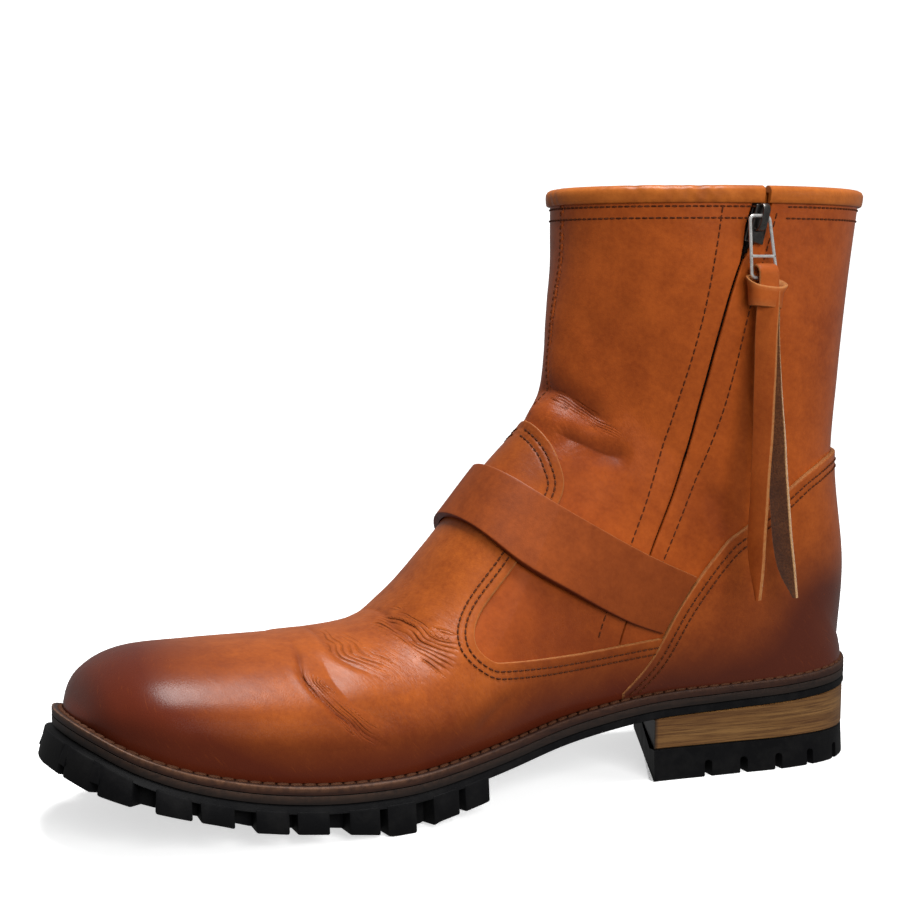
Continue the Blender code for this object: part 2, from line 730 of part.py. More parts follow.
def make_counter(parts, cutters):
    counter = shell("counter", foot_rows(*COUNTER_ROWS), GAP, GAP + COUNTER_LEATHER, "leather", parts)
    top = COUNTER_EDGE[0][1]
    behind = SHAFT[-1][0] + CLEAR
    bottom = above_welt(COUNTER_EDGE[-1][0], behind, 2 * GAP)
    outline = [(behind, top), *smooth_line(COUNTER_EDGE, EDGE_POINTS), *bottom]
    combine(counter, prism("counter_outline", outline, -CUT_REACH, CUT_REACH, cutters), "INTERSECT")


def between(rows, at, points):
    """Points on the straight lines from row to row of a grid."""
    index = np.clip(np.searchsorted(rows, at, "right") - 1, 0, len(rows) - 2)
    share = ((at - rows[index]) / (rows[index + 1] - rows[index]))[:, None, None]
    return points[index] * (1 - share) + points[index + 1] * share


def make_back_stay(parts):
    """The strip over the back seam, from the counter to the collar binding."""
    back = np.linspace(HEEL_ROW, LAST_ROW, 4 * FINE)
    ends = (COUNTER_EDGE[0][1] + GAP, COLLAR - BINDING_DEPTH - 2 * GAP)
    low, high = np.interp(ends, surface(back, 1.0)[:, 2], back)
    rows = foot_rows(HEEL_ROW, LAST_ROW)
    at = np.unique([low, *foot_rows(low, high), high])
    step = 0.1
    width = np.abs(surface(rows, 1 - step)[:, 1] - surface(rows, 1.0)[:, 1])
    u, turn = np.meshgrid(rows, np.linspace(-1, 1, 5), indexing="ij")
    turn = turn * (step * STAY_WIDTH / 2 / width)[:, None]
    v = np.where(turn < 0, 1 + turn, -1 + turn)
    v[turn == 0] = 1
    outside, inside = (between(rows, at, skin(u, v, offset)) for offset in (GAP + STAY_LEATHER, GAP))
    slab("back_stay", outside, inside, "leather", parts)


def make_binding(parts):
    """A band folded over the collar, open at the zip."""
    out = GAP + BINDING_LEATHER
    into = -WALL - out
    shoulder = -BINDING_ROUND * BINDING_ROLL
    outer_half = ((BINDING_DEPTH, GAP), (BINDING_DEPTH, out), (BINDING_ROLL, out + GAP),
                  (shoulder, out - BINDING_ROUND), (-BINDING_ROLL, -GAP))
    inner_half = ((-BINDING_ROLL, -WALL + GAP), (shoulder, into + BINDING_ROUND), (BINDING_ROLL, into),
                  (BINDING_DEPTH, into), (BINDING_DEPTH, -WALL - GAP))
    profile = (*outer_half, *inner_half, (-GAP, -WALL - GAP), (-GAP, GAP))
    middle = zip_distance(COLLAR)
    reach = slot_half(COLLAR) + GAP
    start, end = (float(locate(middle + side * reach, COLLAR - 1)[1]) for side in (-1, 1))
    v = np.array([start, *COLUMNS[COLUMNS > start], *COLUMNS[(COLUMNS > -1) & (COLUMNS < end)], end])
    step = 0.02
    steep = np.linalg.norm(surface(LAST_ROW, COLUMNS) - surface(LAST_ROW - step, COLUMNS), axis=-1) / step
    rings = []
    for depth, offset in profile:
        ring = skin(LAST_ROW - max(depth, 0) / steep, COLUMNS, offset)
        if depth <= 0:
            ring[:, 2] = COLLAR - depth
        rings.append(np.column_stack([np.interp(v, COLUMNS, values) for values in ring.T]))
    points = np.stack(rings, 1)
    rows, columns = points.shape[:2]
    faces = []
    for i in range(rows - 1):
        for j in range(columns):
            a, b = i * columns + j, i * columns + (j + 1) % columns
            faces.append((a, b, b + columns, a + columns))
    faces += [tuple(range(columns)), tuple((rows - 1) * columns + j for j in range(columns))]
    add_mesh("collar_binding", points.reshape(-1, 3), faces, "leather_edge", parts)


def make_strap(parts):
    """The band over the instep; both ends stop at the counter."""
    share = 1 - (1 - np.linspace(0, 1, STRAP_ROWS)) ** 2
    at = share * (len(STRAP) - 1)
    row = {name: spline(column(STRAP, STRAP_COLUMNS, name), at) for name in STRAP_COLUMNS}
    across = np.linspace(0, 1, 5)
    distance = row["bottom"][:, None] + (row["top"] - row["bottom"])[:, None] * across
    height = row["bottom_height"][:, None] + (row["top_height"] - row["bottom_height"])[:, None] * across
    u, v = locate(distance, height)
    v[-1] = 0
    lift, thick = (np.broadcast_to(row[name][:, None], u.shape) for name in ("lift", "leather"))
    inner_half = ((u, 1), (v, -1), (lift, 1), (thick, 1))
    u, v, lift, thick = (np.concatenate([near, sign * near[-2::-1]]) for near, sign in inner_half)
    slab("strap", skin(u, v, lift + thick), skin(u, v, lift), "leather", parts)


ZIP_LOW = 51.0
CHAIN_TOP = 187.5
TAPE_HALF = 10.0
TAPE = 0.9
CHAIN_HALF = 1.0


def zip_band(name, low, high, half, inside, outside, finish, parts, columns):
    front, behind = zip_outline(low, high, lambda height: np.full(height.shape, half))
    share = np.linspace(0, 1, columns)
    distance = front[:, :1] + (behind - front)[:, :1] * share
    height = np.broadcast_to(front[:, 1:], distance.shape)
    u, v = locate(distance, height)
    slab(name, skin(u, v, outside), skin(u, v, inside), finish, parts)


def make_zip(parts):
    face = -WALL - 2.5 * GAP
    zip_band("zip_tape", ZIP_LOW - 4, COLLAR - BINDING_DEPTH - GAP, TAPE_HALF, face - TAPE, face,
             "zip_cloth", parts, 5)
    zip_band("zip_chain", ZIP_LOW + 4, CHAIN_TOP, CHAIN_HALF, face + GAP, -0.7, "gunmetal", parts, 2)


def make_slider(parts, cutters):
    x, y, _ = SLIDER
    slider = block("zip_slider", SLIDER, SLIDER_SIZE, "gunmetal", parts, bevel=0.9)
    slider.rotation_euler.y = SLIDER_LEAN
    bridge_y = y - SLIDER_SIZE[1] / 2 - BRIDGE_SIZE[1] / 2 + BRIDGE_ROOT
    bridge = block("bridge", (x, bridge_y, PULL_TOP), BRIDGE_SIZE, "gunmetal", cutters, bevel=0.6)
    combine(slider, as_cutter(bridge), "UNION")
    room = 2 * (WIRE + HINGE_ROOM)
    hole = block("bridge_hole", (x, pull_y(), PULL_TOP), (CLEAR, room, room), None, cutters)
    combine(slider, as_cutter(hole), "DIFFERENCE")


def pull_y():
    """y of the pull's hinge, in front of the slider's face."""
    return SLIDER[1] - SLIDER_SIZE[1] / 2 - HINGE_REACH


def wire_mesh(name, points, closed, finish, collection):
    """A wire along points, as a mesh."""
    curve = bpy.data.curves.new(name, "CURVE")
    curve.dimensions = "3D"
    curve.bevel_depth = MM * WIRE
    curve.bevel_resolution = 2
    curve.use_fill_caps = True
    line = curve.splines.new("POLY")
    line.points.add(len(points) - 1)
    for spot, point in zip(line.points, points):
        spot.co = (*(MM * value for value in point), 1)
    line.use_cyclic_u = closed
    guide = bpy.data.objects.new(name + "_guide", curve)
    collection.objects.link(guide)
    bpy.context.view_layer.update()
    drawn = guide.evaluated_get(bpy.context.evaluated_depsgraph_get())
    mesh = bpy.data.meshes.new_from_object(drawn)
    bpy.data.objects.remove(guide, do_unlink=True)
    shape = bmesh.new()
    shape.from_mesh(mesh)
    bmesh.ops.remove_doubles(shape, verts=shape.verts, dist=0.000002)
    bmesh.ops.recalc_face_normals(shape, faces=shape.faces)
    shape.to_mesh(mesh)
    shape.free()
    mesh.shade_smooth()
    mesh.materials.clear()
    mesh.materials.append(material(finish))
    made = bpy.data.objects.new(name, mesh)
    collection.objects.link(made)
    return made


def make_pull(parts, cutters):
    """A wire loop with a cross bar, hinged in the slider's bridge; its origin is on the hinge's axis."""
    x, y = SLIDER[0], pull_y()
    hinge = np.array((x, y, PULL_TOP))
    path = []
    for side, rows in ((1, PULL), (-1, PULL[::-1])):
        for height, middle, half in rows:
            end = x + middle + side * half
            turned = end - side * WIRE_CORNER
            if height == PULL_TOP:
                corners = [(turned, y, height), (end, y, height - WIRE_CORNER)]
            elif height == PULL[-1][0]:
                corners = [(end, y, height + WIRE_CORNER), (turned, y, height)]
            else:
                corners = [(end, y, height)]
            path += corners[::side]
    pull = wire_mesh("zip_pull", np.array(path) - hinge, True, "steel", parts)
    pull.location = [MM * value for value in hinge]
    height, middle, half = PULL[1]
    ends = [(x + middle + side * half, y, height) for side in (-1, 1)]
    bar = wire_mesh("pull_bar", ends, False, "steel", cutters)
    combine(pull, as_cutter(bar), "UNION")


def tail(name, table, collection):
    """One hanging end of the thong, from the knot to its cut tip."""
    at = np.linspace(0, len(table) - 1, 11)
    row = {key: spline(column(table, TAIL_COLUMNS, key), at) for key in TAIL_COLUMNS}
    middle = np.column_stack([SLIDER[0] + row["x"], pull_y() + row["y"], row["height"]])
    along = np.column_stack([np.cos(row["turn"]), np.sin(row["turn"]), 0 * at])
    thick = np.column_stack([-np.sin(row["turn"]), np.cos(row["turn"]), 0 * at])
    half = row["half"][:, None] * along
    edges = np.stack([middle - half, middle + half], 1)
    push = (THONG / 2 * thick)[:, None]
    return slab(name, edges - push, edges + push, "leather", collection)


def make_thong(parts, cutters):
    """A leather thong looped over the pull's end, knotted, with two tails."""
    x, y = SLIDER[0], pull_y()
    _, middle, half = PULL[-1]
    half = half - WIRE - LOOP_ROOM
    turn = np.linspace(np.pi, 0, 7)
    grids = []
    for radius in (LOOP_RADIUS + THONG, LOOP_RADIUS):
        bend = np.column_stack([radius * np.cos(turn), LOOP_HEIGHT + radius * np.sin(turn)])
        path = [(bend[0, 0], KNOT_PLACE[2]), *bend, (bend[-1, 0], KNOT_PLACE[2])]
        grids.append([[(x + middle + side * half, y + a, b) for side in (-1, 1)] for a, b in path])
    thong = slab("pull_thong", *np.array(grids), "leather", parts)
    place = (x + KNOT_PLACE[0], y + KNOT_PLACE[1], KNOT_PLACE[2])
    knot = block("knot", place, KNOT, "leather", cutters, bevel=1.6)
    for item in (knot, tail("front_tail", FRONT_TAIL, cutters), tail("back_tail", BACK_TAIL, cutters)):
        combine(thong, as_cutter(item), "UNION")


def main():
    clear_scene()
    parts = new_collection("engineer_boot")
    cutters = new_collection("cutters")
    make_sole(parts, cutters)
    make_upper(parts, cutters)
    make_counter(parts, cutters)
    make_back_stay(parts)
    make_binding(parts)
    make_strap(parts)
    make_zip(parts)
    make_slider(parts, cutters)
    make_pull(parts, cutters)
    make_thong(parts, cutters)


main()
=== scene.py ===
"""Looks of the engineer boot: leather panels, seams, zip, sole and studio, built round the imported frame.

Sizes are in millimetres and turned into metres where meshes are made. The toe points along -X.
"""

import bmesh
import bpy
import numpy as np
from mathutils import Matrix, Vector
from mathutils.geometry import delaunay_2d_cdt
from mathutils.kdtree import KDTree
from mathutils.noise import noise as perlin


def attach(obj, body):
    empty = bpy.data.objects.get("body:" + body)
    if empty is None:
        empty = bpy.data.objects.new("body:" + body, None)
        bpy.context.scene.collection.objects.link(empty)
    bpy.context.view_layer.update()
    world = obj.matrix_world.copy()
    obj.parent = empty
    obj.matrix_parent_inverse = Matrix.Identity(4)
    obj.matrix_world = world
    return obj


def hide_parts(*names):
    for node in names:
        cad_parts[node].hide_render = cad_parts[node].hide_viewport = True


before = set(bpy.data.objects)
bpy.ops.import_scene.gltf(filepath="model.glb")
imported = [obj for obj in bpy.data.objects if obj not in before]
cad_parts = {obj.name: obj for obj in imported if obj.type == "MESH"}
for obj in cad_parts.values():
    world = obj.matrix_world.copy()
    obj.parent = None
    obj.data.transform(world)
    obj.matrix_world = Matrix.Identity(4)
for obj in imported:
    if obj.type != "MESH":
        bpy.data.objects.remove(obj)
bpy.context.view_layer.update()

MM = 0.001
GAP = 0.3
ORIGIN = 154.5

# Driving dimensions, as in the frame
BREAST = 209.0
BREAST_SLANT = 34.0
LEDGE = 5.0
HEEL_LEDGE = 3.2
WELT = 2.6
MIDSOLE = 2.7
RUBBER = 2.7
LIFT = 11.4
TOE_FLARE = 4.5
EDGE_FLARE = 1.2
WALL = 2.2
VAMP_STEP = 1.1
COUNTER_LEATHER = 1.4
STRAP_LEATHER = 2.6
COLLAR = 206.5
BINDING_DEPTH = 4.6
STAY_WIDTH = 13.0

OUTLINE_COLUMNS = ("distance", "centre", "half")
OUTLINE = (
    (4.5, -6.0, 0.0),
    (7.5, -6.0, 18.0),
    (15.0, -5.5, 32.5),
    (28.5, -3.5, 43.5),
    (50.0, -1.0, 49.5),
    (78.0, 0.5, 53.3),
    (108.0, 2.5, 54.0),
    (140.0, 5.0, 49.0),
    (172.0, 6.5, 42.0),
    (204.0, 5.0, 38.0),
    (236.0, 2.5, 37.5),
    (264.0, 1.0, 38.0),
    (286.0, 0.5, 33.0),
    (299.5, 0.5, 19.0),
    (304.0, 0.5, 0.0),
)
PROFILE_COLUMNS = ("distance", "height")
PROFILE = (
    (0, 42.5),
    (10, 37.5),
    (21, 32.0),
    (38, 25.8),
    (57, 21.2),
    (80, 18.4),
    (105, 17.8),
    (125, 19.2),
    (150, 22.6),
    (180, 27.6),
    (210, 31.2),
    (240, 32.5),
    (272, 33.9),
    (304, 36.4),
)
TREAD_COLUMNS = ("distance", "height")
TREAD = (
    (0, 24.0),
    (8, 20.3),
    (20, 16.6),
    (43, 10.2),
    (55, 6.6),
    (66, 5.0),
    (80, 3.4),
    (95, 1.3),
    (100.5, 0.0),
    (112.5, 0.0),
    (118, 2.0),
    (126, 3.0),
    (136, 4.4),
    (160, 9.0),
)
FOOT_COLUMNS = ("bottom", "top", "top_height", "half", "centre", "ridge", "widest", "crown")
FOOT = (
    (9.5, 9.5, 38.0, 0.0, -6.0, -6.0, 0.30, 2.0),
    (12.0, 11.5, 42.0, 16.2, -6.0, -6.0, 0.30, 2.2),
    (19.0, 17.5, 51.0, 30.2, -5.5, -5.5, 0.30, 2.2),
    (33.0, 31.0, 56.5, 40.5, -4.0, -5.0, 0.30, 2.1),
    (56.0, 54.5, 57.0, 46.8, -1.5, -4.0, 0.30, 2.0),
    (86.0, 85.0, 57.0, 50.2, 0.5, -3.0, 0.28, 1.9),
    (118.0, 114.5, 59.5, 50.0, 2.5, -1.0, 0.27, 1.7),
    (136.0, 128.5, 69.5, 47.5, 3.3, -0.5, 0.27, 1.65),
    (156.0, 141.5, 84.5, 44.5, 4.0, 0.0, 0.27, 1.6),
    (194.0, 161.5, 110.0, 39.5, 4.0, 0.0, 0.30, 1.6),
    (236.0, 176.0, 125.5, 37.5, 2.5, 0.0, 0.33, 1.7),
    (274.0, 182.0, 139.0, 36.8, 1.5, 0.0, 0.36, 1.8),
    (300.8, 184.0, 151.0, 37.5, 1.0, 0.0, 0.40, 1.9),
)
SHAFT_COLUMNS = ("back", "back_height", "top", "top_height", "half", "centre", "ridge", "widest", "crown")
SHAFT = (
    (302.5, 66.0, 185.0, 161.5, 39.0, 0.5, 0.0, 0.42, 2.0),
    (297.5, 103.0, 186.5, 171.0, 41.5, 0.0, 0.0, 0.45, 2.0),
    (299.0, 138.0, 188.5, 182.5, 45.0, 0.0, 0.0, 0.48, 2.0),
    (302.5, 173.0, 189.0, 195.0, 47.0, 0.0, 0.0, 0.50, 2.0),
    (307.0, COLLAR, 189.0, COLLAR, 48.0, 0.0, 0.0, 0.50, 2.0),
)

# Edges seen from the side, as distance from the toe tip and height
VAMP_EDGE = (
    (175.5, 126.0),
    (178.2, 114.0),
    (175.7, 100.5),
    (155.5, 78.9),
    (141.3, 64.5),
    (137.4, 56.0),
    (141.3, 50.6),
    (149.0, 49.4),
    (180.0, 49.6),
    (209.0, 51.6),
)
VAMP_REAR = ((209.0, 51.6), (218.0, 50.0), (214.0, 40.0), (208.0, 30.5))
COUNTER_EDGE = (
    (284.0, 112.5),
    (273.0, 109.5),
    (262.0, 104.0),
    (245.0, 90.2),
    (233.0, 81.0),
    (217.0, 62.5),
    (206.0, 44.0),
    (196.0, 32.5),
)
ZIP_LINE = (
    (243.5, 212.0),
    (238.8, 196.0),
    (232.3, 177.5),
    (228.0, 158.0),
    (222.0, 121.0),
    (216.5, 102.5),
    (206.0, 81.0),
    (196.0, 58.5),
    (193.0, 49.0),
)
SLOT_COLUMNS = ("height", "half")
SLOT = ((COLLAR, 2.2), (202.0, 3.8), (194.0, 3.7), (187.0, 1.6), (182.0, 0.5), (49.0, 0.3))
ZIP_STITCH_FRONT = (
    (226.5, 201.0),
    (221.5, 158.7),
    (215.5, 127.3),
    (207.7, 103.1),
    (198.3, 83.7),
    (187.2, 60.9),
    (183.9, 52.2),
)
ZIP_STITCH_BEHIND = (
    (246.5, 199.0),
    (238.4, 168.9),
    (234.6, 144.7),
    (231.4, 127.2),
    (225.8, 109.6),
    (218.1, 92.4),
    (210.7, 78.2),
    (206.0, 69.0),
)
STRAP_COLUMNS = ("top", "top_height", "bottom", "bottom_height", "lift", "leather")
STRAP = (
    (223.4, 72.4, 209.7, 53.4, 0.35, 1.2),
    (206.0, 80.1, 195.0, 59.0, 0.8, 1.75),
    (187.8, 89.6, 176.0, 68.5, 1.5, STRAP_LEATHER),
    (172.0, 99.5, 158.0, 79.5, 1.5, STRAP_LEATHER),
    (160.8, 109.1, 147.6, 92.2, 1.5, STRAP_LEATHER),
)
SLIDER = (84.2, -47.4, 194.6)
SLIDER_SIZE = (6.0, 3.6, 13.0)
SLIDER_LEAN = 0.26
WIRE = 0.85
THIN_WIRE = 0.58
HINGE_REACH = 1.7
PULL_Y = SLIDER[1] - SLIDER_SIZE[1] / 2 - HINGE_REACH
PULL_TOP = 197.5
# Height, place and half width of the wire pull at its top, its cross bar and its bottom
PULL = ((PULL_TOP, -1.5, 3.9), (183.8, 0.0, 4.9), (176.5, 0.8, 5.1))
THONG = 1.5
LOOP_ROOM = 0.35
LOOP_RADIUS = 2.1
LOOP_HEIGHT = 177.9
KNOT_PLACE = (1.0, -0.4, 171.0)
TAIL_COLUMNS = ("height", "x", "y", "half", "turn")
FRONT_TAIL = (
    (172.0, 1.3, -1.9, 3.8, -0.7),
    (135.0, -0.6, -2.8, 3.8, -1.05),
    (106.0, -1.9, -3.2, 3.6, -1.24),
    (82.0, -3.1, -3.2, 3.4, -1.3),
    (66.5, -4.0, -5.8, 0.7, -1.3),
)
BACK_TAIL = (
    (172.0, 3.7, 1.5, 3.6, -0.45),
    (140.0, 5.2, 1.4, 3.6, -0.7),
    (105.0, 8.6, 1.0, 3.6, -1.1),
    (78.0, 11.6, 0.8, 3.5, -1.15),
    (65.5, 14.2, -1.9, 0.7, -1.15),
)

# Creases: a line of rows and places round them, with depth, width and the ridge in front
CREASES = (
    (((4.92, -0.02), (4.82, -0.16), (4.73, -0.29), (4.87, -0.43), (5.04, -0.51), (5.57, -0.71)),
     0.8, 1.3, 0.15),
    (((5.10, -0.12), (5.03, -0.28), (5.12, -0.40), (5.35, -0.50), (5.70, -0.60)), 1.3, 7.5, 0.0),
    (((5.35, 0.20), (5.24, -0.02), (5.20, -0.18), (5.31, -0.26), (5.59, -0.36)), 0.5, 1.6, 0.2),
    (((6.35, 0.30), (6.25, 0.00), (6.14, -0.15), (6.29, -0.25), (6.85, -0.38)), 0.6, 1.6, 0.25),
    (((4.90, 0.10), (4.80, 0.30), (4.90, 0.45), (5.10, 0.58)), 1.2, 3.4, 0.7),
    (((10.85, 0.14), (10.90, -0.01), (10.98, -0.10), (11.05, -0.19), (11.21, -0.27)), 3.2, 5.0, 1.8),
    (((10.05, -0.12), (10.30, -0.21), (10.60, -0.28), (11.05, -0.32)), 2.8, 5.0, 0.4),
    (((14.52, -0.25), (13.87, -0.21), (13.18, -0.17), (12.56, -0.12)), 0.9, 9.0, 0.3),
    (((7.99, -0.65), (7.58, -0.67), (7.19, -0.70), (6.94, -0.76)), 0.5, 2.5, 0.3),
    (((11.75, -0.43), (11.60, -0.46), (11.40, -0.50), (11.15, -0.56)), 1.2, 4.5, 0.3),
    (((10.85, 0.20), (10.95, 0.35), (11.30, 0.48)), 1.2, 6.0, 0.7),
)
# Fine wrinkles: the first and last line of a fan of them, with their number and depth
FANS = (
    (((4.72, -0.16), (4.72, -0.33), (4.90, -0.47), (5.30, -0.70)),
     ((4.90, -0.32), (5.21, -0.50), (5.38, -0.57), (5.80, -0.72)), 6, 0.38),
    (((5.24, 0.02), (5.19, -0.18), (5.31, -0.26), (5.70, -0.40)),
     ((5.55, 0.00), (5.60, -0.18), (5.74, -0.26), (6.05, -0.37)), 6, 0.42),
    (((6.45, 0.02), (6.66, -0.18), (6.84, -0.27), (7.35, -0.40)),
     ((5.88, -0.08), (6.12, -0.28), (6.38, -0.40), (6.85, -0.60)), 8, 0.48),
    (((10.95, -0.02), (11.03, -0.12), (11.10, -0.19), (11.30, -0.29)),
     ((10.60, -0.02), (10.70, -0.12), (10.80, -0.21), (11.08, -0.29)), 5, 0.40),
)

HEEL_ROW = len(FOOT) - 1
LAST_ROW = len(FOOT) + len(SHAFT) - 1
FIRST_ROW = 0.05
FINE = 60
TINY = 1e-9


# Curves and the last

def column(table, names, name):
    return np.array([row[names.index(name)] for row in table], float)


def spline(values, at, ends=(-1, -1)):
    """A smooth curve through evenly spaced values; an end of 1 is level there, and -1 runs straight on."""
    values = np.asarray(values, float)
    head = values[0] + ends[0] * (values[1] - values[0])
    tail = values[-1] + ends[1] * (values[-2] - values[-1])
    padded = np.concatenate([[head], values, [tail]])
    at = np.clip(np.asarray(at, float), 0, len(values) - 1)
    index = np.minimum(at.astype(int), len(values) - 2)
    part = at - index
    before, low, high, after = (padded[index + k] for k in range(4))
    bend = 2 * before - 5 * low + 4 * high - after
    return low + 0.5 * part * (high - before + part * (bend + part * (3 * (low - high) + after - before)))


def smooth_line(points, count):
    """Points along a smooth line through a few points."""
    at = np.linspace(0, len(points) - 1, count)
    return np.column_stack([spline(values, at) for values in np.array(points, float).T])


def smooth_step(low, high, value):
    share = np.clip((np.asarray(value, float) - low) / (high - low), 0, 1)
    return share * share * (3 - 2 * share)


def unit(vectors):
    return vectors / np.maximum(np.linalg.norm(vectors, axis=-1, keepdims=True), TINY)


def arc_length(points):
    """Length along a line, up to each of its points."""
    return np.concatenate([[0], np.cumsum(np.linalg.norm(np.diff(points, axis=0), axis=1))])


def at_length(at, run, points):
    """Points of a line at lengths along it; run is the length up to each of its points."""
    return np.stack([np.interp(at, run, values) for values in points.T], -1)


OUTLINE_AT = np.linspace(0, len(OUTLINE) - 1, FINE * (len(OUTLINE) - 1) + 1)
OUTLINE_DISTANCE = spline(column(OUTLINE, OUTLINE_COLUMNS, "distance"), OUTLINE_AT, (1, 1))
OUTLINE_CENTRE = spline(column(OUTLINE, OUTLINE_COLUMNS, "centre"), OUTLINE_AT, (1, 1))
OUTLINE_HALF = np.maximum(spline(column(OUTLINE, OUTLINE_COLUMNS, "half"), OUTLINE_AT), 0)
PROFILE_AT = np.linspace(0, len(PROFILE) - 1, FINE * (len(PROFILE) - 1) + 1)
PROFILE_DISTANCE = spline(column(PROFILE, PROFILE_COLUMNS, "distance"), PROFILE_AT)
PROFILE_HEIGHT = spline(column(PROFILE, PROFILE_COLUMNS, "height"), PROFILE_AT)
FEATHER = np.interp(OUTLINE_DISTANCE, (170, 235), (LEDGE, HEEL_LEDGE))
FLARE = np.interp(OUTLINE_DISTANCE, (4.5, 45, 130, 170), (TOE_FLARE, 1.5 * EDGE_FLARE, EDGE_FLARE, 0.0))


def edge(side, inset):
    """Distance and y along one edge of the sole, moved inwards by inset."""
    y = OUTLINE_CENTRE + side * OUTLINE_HALF
    along = np.gradient(OUTLINE_DISTANCE)
    across = np.gradient(y)
    along[[0, -1]] = 0
    across[[0, -1]] = side, -side
    length = np.hypot(along, across)
    return OUTLINE_DISTANCE + side * inset * across / length, y - side * inset * along / length


def edge_y(distance, side, inset):
    """y of one edge of the sole at a distance from the toe tip."""
    along, y = edge(side, inset)
    rising = np.concatenate([[True], np.diff(np.maximum.accumulate(along)) > 0])
    return np.interp(distance, along[rising], y[rising])


def welt_top(distance):
    return np.interp(distance, PROFILE_DISTANCE, PROFILE_HEIGHT)


def floor_height(distance):
    """Height of the tread: flat under the ball, lifting to the toe and to the arch."""
    return np.interp(distance, *(column(TREAD, TREAD_COLUMNS, name) for name in TREAD_COLUMNS))


def section(u):
    """Bottom, top and shape of the upper's section at u, counted in table rows from toe to collar."""
    foot = spline(column(FOOT, FOOT_COLUMNS, "bottom"), np.minimum(u, HEEL_ROW), (1, 1))
    inner, outer = (edge_y(foot, side, FEATHER) for side in (-1, 1))
    heel = FOOT[-1][0]
    climb = np.maximum(u - HEEL_ROW, 0)
    back = spline([heel, *column(SHAFT, SHAFT_COLUMNS, "back")], climb)
    back_height = spline([welt_top(heel) + GAP, *column(SHAFT, SHAFT_COLUMNS, "back_height")], climb)
    on_shaft = u > HEEL_ROW
    shape = {
        "bottom": np.where(on_shaft, back, foot) - ORIGIN,
        "bottom_height": np.where(on_shaft, back_height, welt_top(foot) + GAP),
        "bottom_half": np.where(on_shaft, 0, np.maximum(outer - inner, 0) / 2),
        "bottom_centre": (outer + inner) / 2,
    }
    for name in FOOT_COLUMNS[1:]:
        values = [*column(FOOT, FOOT_COLUMNS, name), *column(SHAFT, SHAFT_COLUMNS, name)]
        if name == "top_height":
            values[0] = welt_top(FOOT[0][0]) + GAP
        round_toe = -1 if name in ("half", "top_height") else 1
        shape[name] = spline(values, u, (round_toe, -1))
    shape["top"] = shape["top"] - ORIGIN
    return shape


def surface(u, v):
    """The upper's outside: v runs from -1, inner bottom, over 0, the ridge, to 1, outer bottom."""
    u, v = np.broadcast_arrays(np.asarray(u, float), np.asarray(v, float))
    row = section(u)
    rise = np.cos(np.pi * v / 2) ** 2
    low = np.clip(rise / row["widest"], 0, 1)
    high = np.clip((rise - row["widest"]) / (1 - row["widest"]), 0, 1)
    half = np.maximum(row["half"], 1.02 * row["bottom_half"])
    upright = 0.5 + 0.5 * row["bottom_half"] / np.maximum(half, GAP)
    swell = row["bottom_half"] + (half - row["bottom_half"]) * (1 - (1 - low) ** 2) ** upright
    width = np.where(low < 1, swell, half * np.sqrt(1 - high ** row["crown"]))
    shift = row["bottom_centre"] + (row["centre"] - row["bottom_centre"]) * low
    centre = shift + (row["ridge"] - row["centre"]) * high
    x = row["bottom"] + (row["top"] - row["bottom"]) * rise
    z = row["bottom_height"] + (row["top_height"] - row["bottom_height"]) * rise
    return np.stack([x, centre + np.sign(v) * width, z], -1)


def slopes(u, v, step=0.004):
    """Directions of the upper's outside along u and v."""
    u, v = np.broadcast_arrays(np.asarray(u, float), np.asarray(v, float))
    u = np.maximum(u, FIRST_ROW)
    round_back = u >= HEEL_ROW
    ahead = np.where((v + step > 1) & round_back, v + step - 2, np.minimum(v + step, 1))
    behind = np.where((v - step < -1) & round_back, v - step + 2, np.maximum(v - step, -1))
    low, high = u - step, np.minimum(u + step, LAST_ROW)
    along = (surface(high, v) - surface(low, v)) / (high - low)[..., None]
    across = (surface(u, ahead) - surface(u, behind)) / (2 * step)
    return along, across


def normal(u, v):
    """Outward direction of the upper's outside."""
    return unit(np.cross(*slopes(u, v)))


def skin(u, v, offset):
    """The outside moved by offset; the bottom edge of the foot moves level."""
    u, v, offset = np.broadcast_arrays(*(np.asarray(item, float) for item in (u, v, offset)))
    out = normal(u, v)
    near = smooth_step(0.90, 1.0, np.abs(v)) * (u <= HEEL_ROW)
    out = unit(out * np.stack([np.ones_like(near), np.ones_like(near), 1 - near], -1))
    return surface(u, v) + offset[..., None] * out


def locate(distance, height):
    """u and v, on the inner side, of points given by distance from the toe tip and height."""
    x, z = np.broadcast_arrays(np.asarray(distance, float) - ORIGIN, np.asarray(height, float))
    low = np.zeros(x.shape)
    high = np.full(x.shape, float(LAST_ROW))
    for _ in range(40):
        u = (low + high) / 2
        row = section(u)
        run = row["top"] - row["bottom"]
        lift = row["top_height"] - row["bottom_height"]
        ahead = run * (z - row["bottom_height"]) < lift * (x - row["bottom"])
        low = np.where(ahead, u, low)
        high = np.where(ahead, high, u)
    rise = ((x - row["bottom"]) * run + (z - row["bottom_height"]) * lift) / (run ** 2 + lift ** 2)
    return u, -2 / np.pi * np.arccos(np.sqrt(np.clip(rise, 0, 1)))


# Materials

def put(tree, socket, value):
    if isinstance(value, bpy.types.NodeSocket):
        tree.links.new(value, socket)
    else:
        socket.default_value = value


def dress(tree, made, **inputs):
    """Sets or links inputs of a node; an underscore stands for a space."""
    for key, value in inputs.items():
        put(tree, made.inputs[key.replace("_", " ")], value)


def node(tree, kind, settings=(), **inputs):
    made = tree.nodes.new("ShaderNode" + kind)
    for key, value in dict(settings).items():
        setattr(made, key, value)
    dress(tree, made, **inputs)
    return made


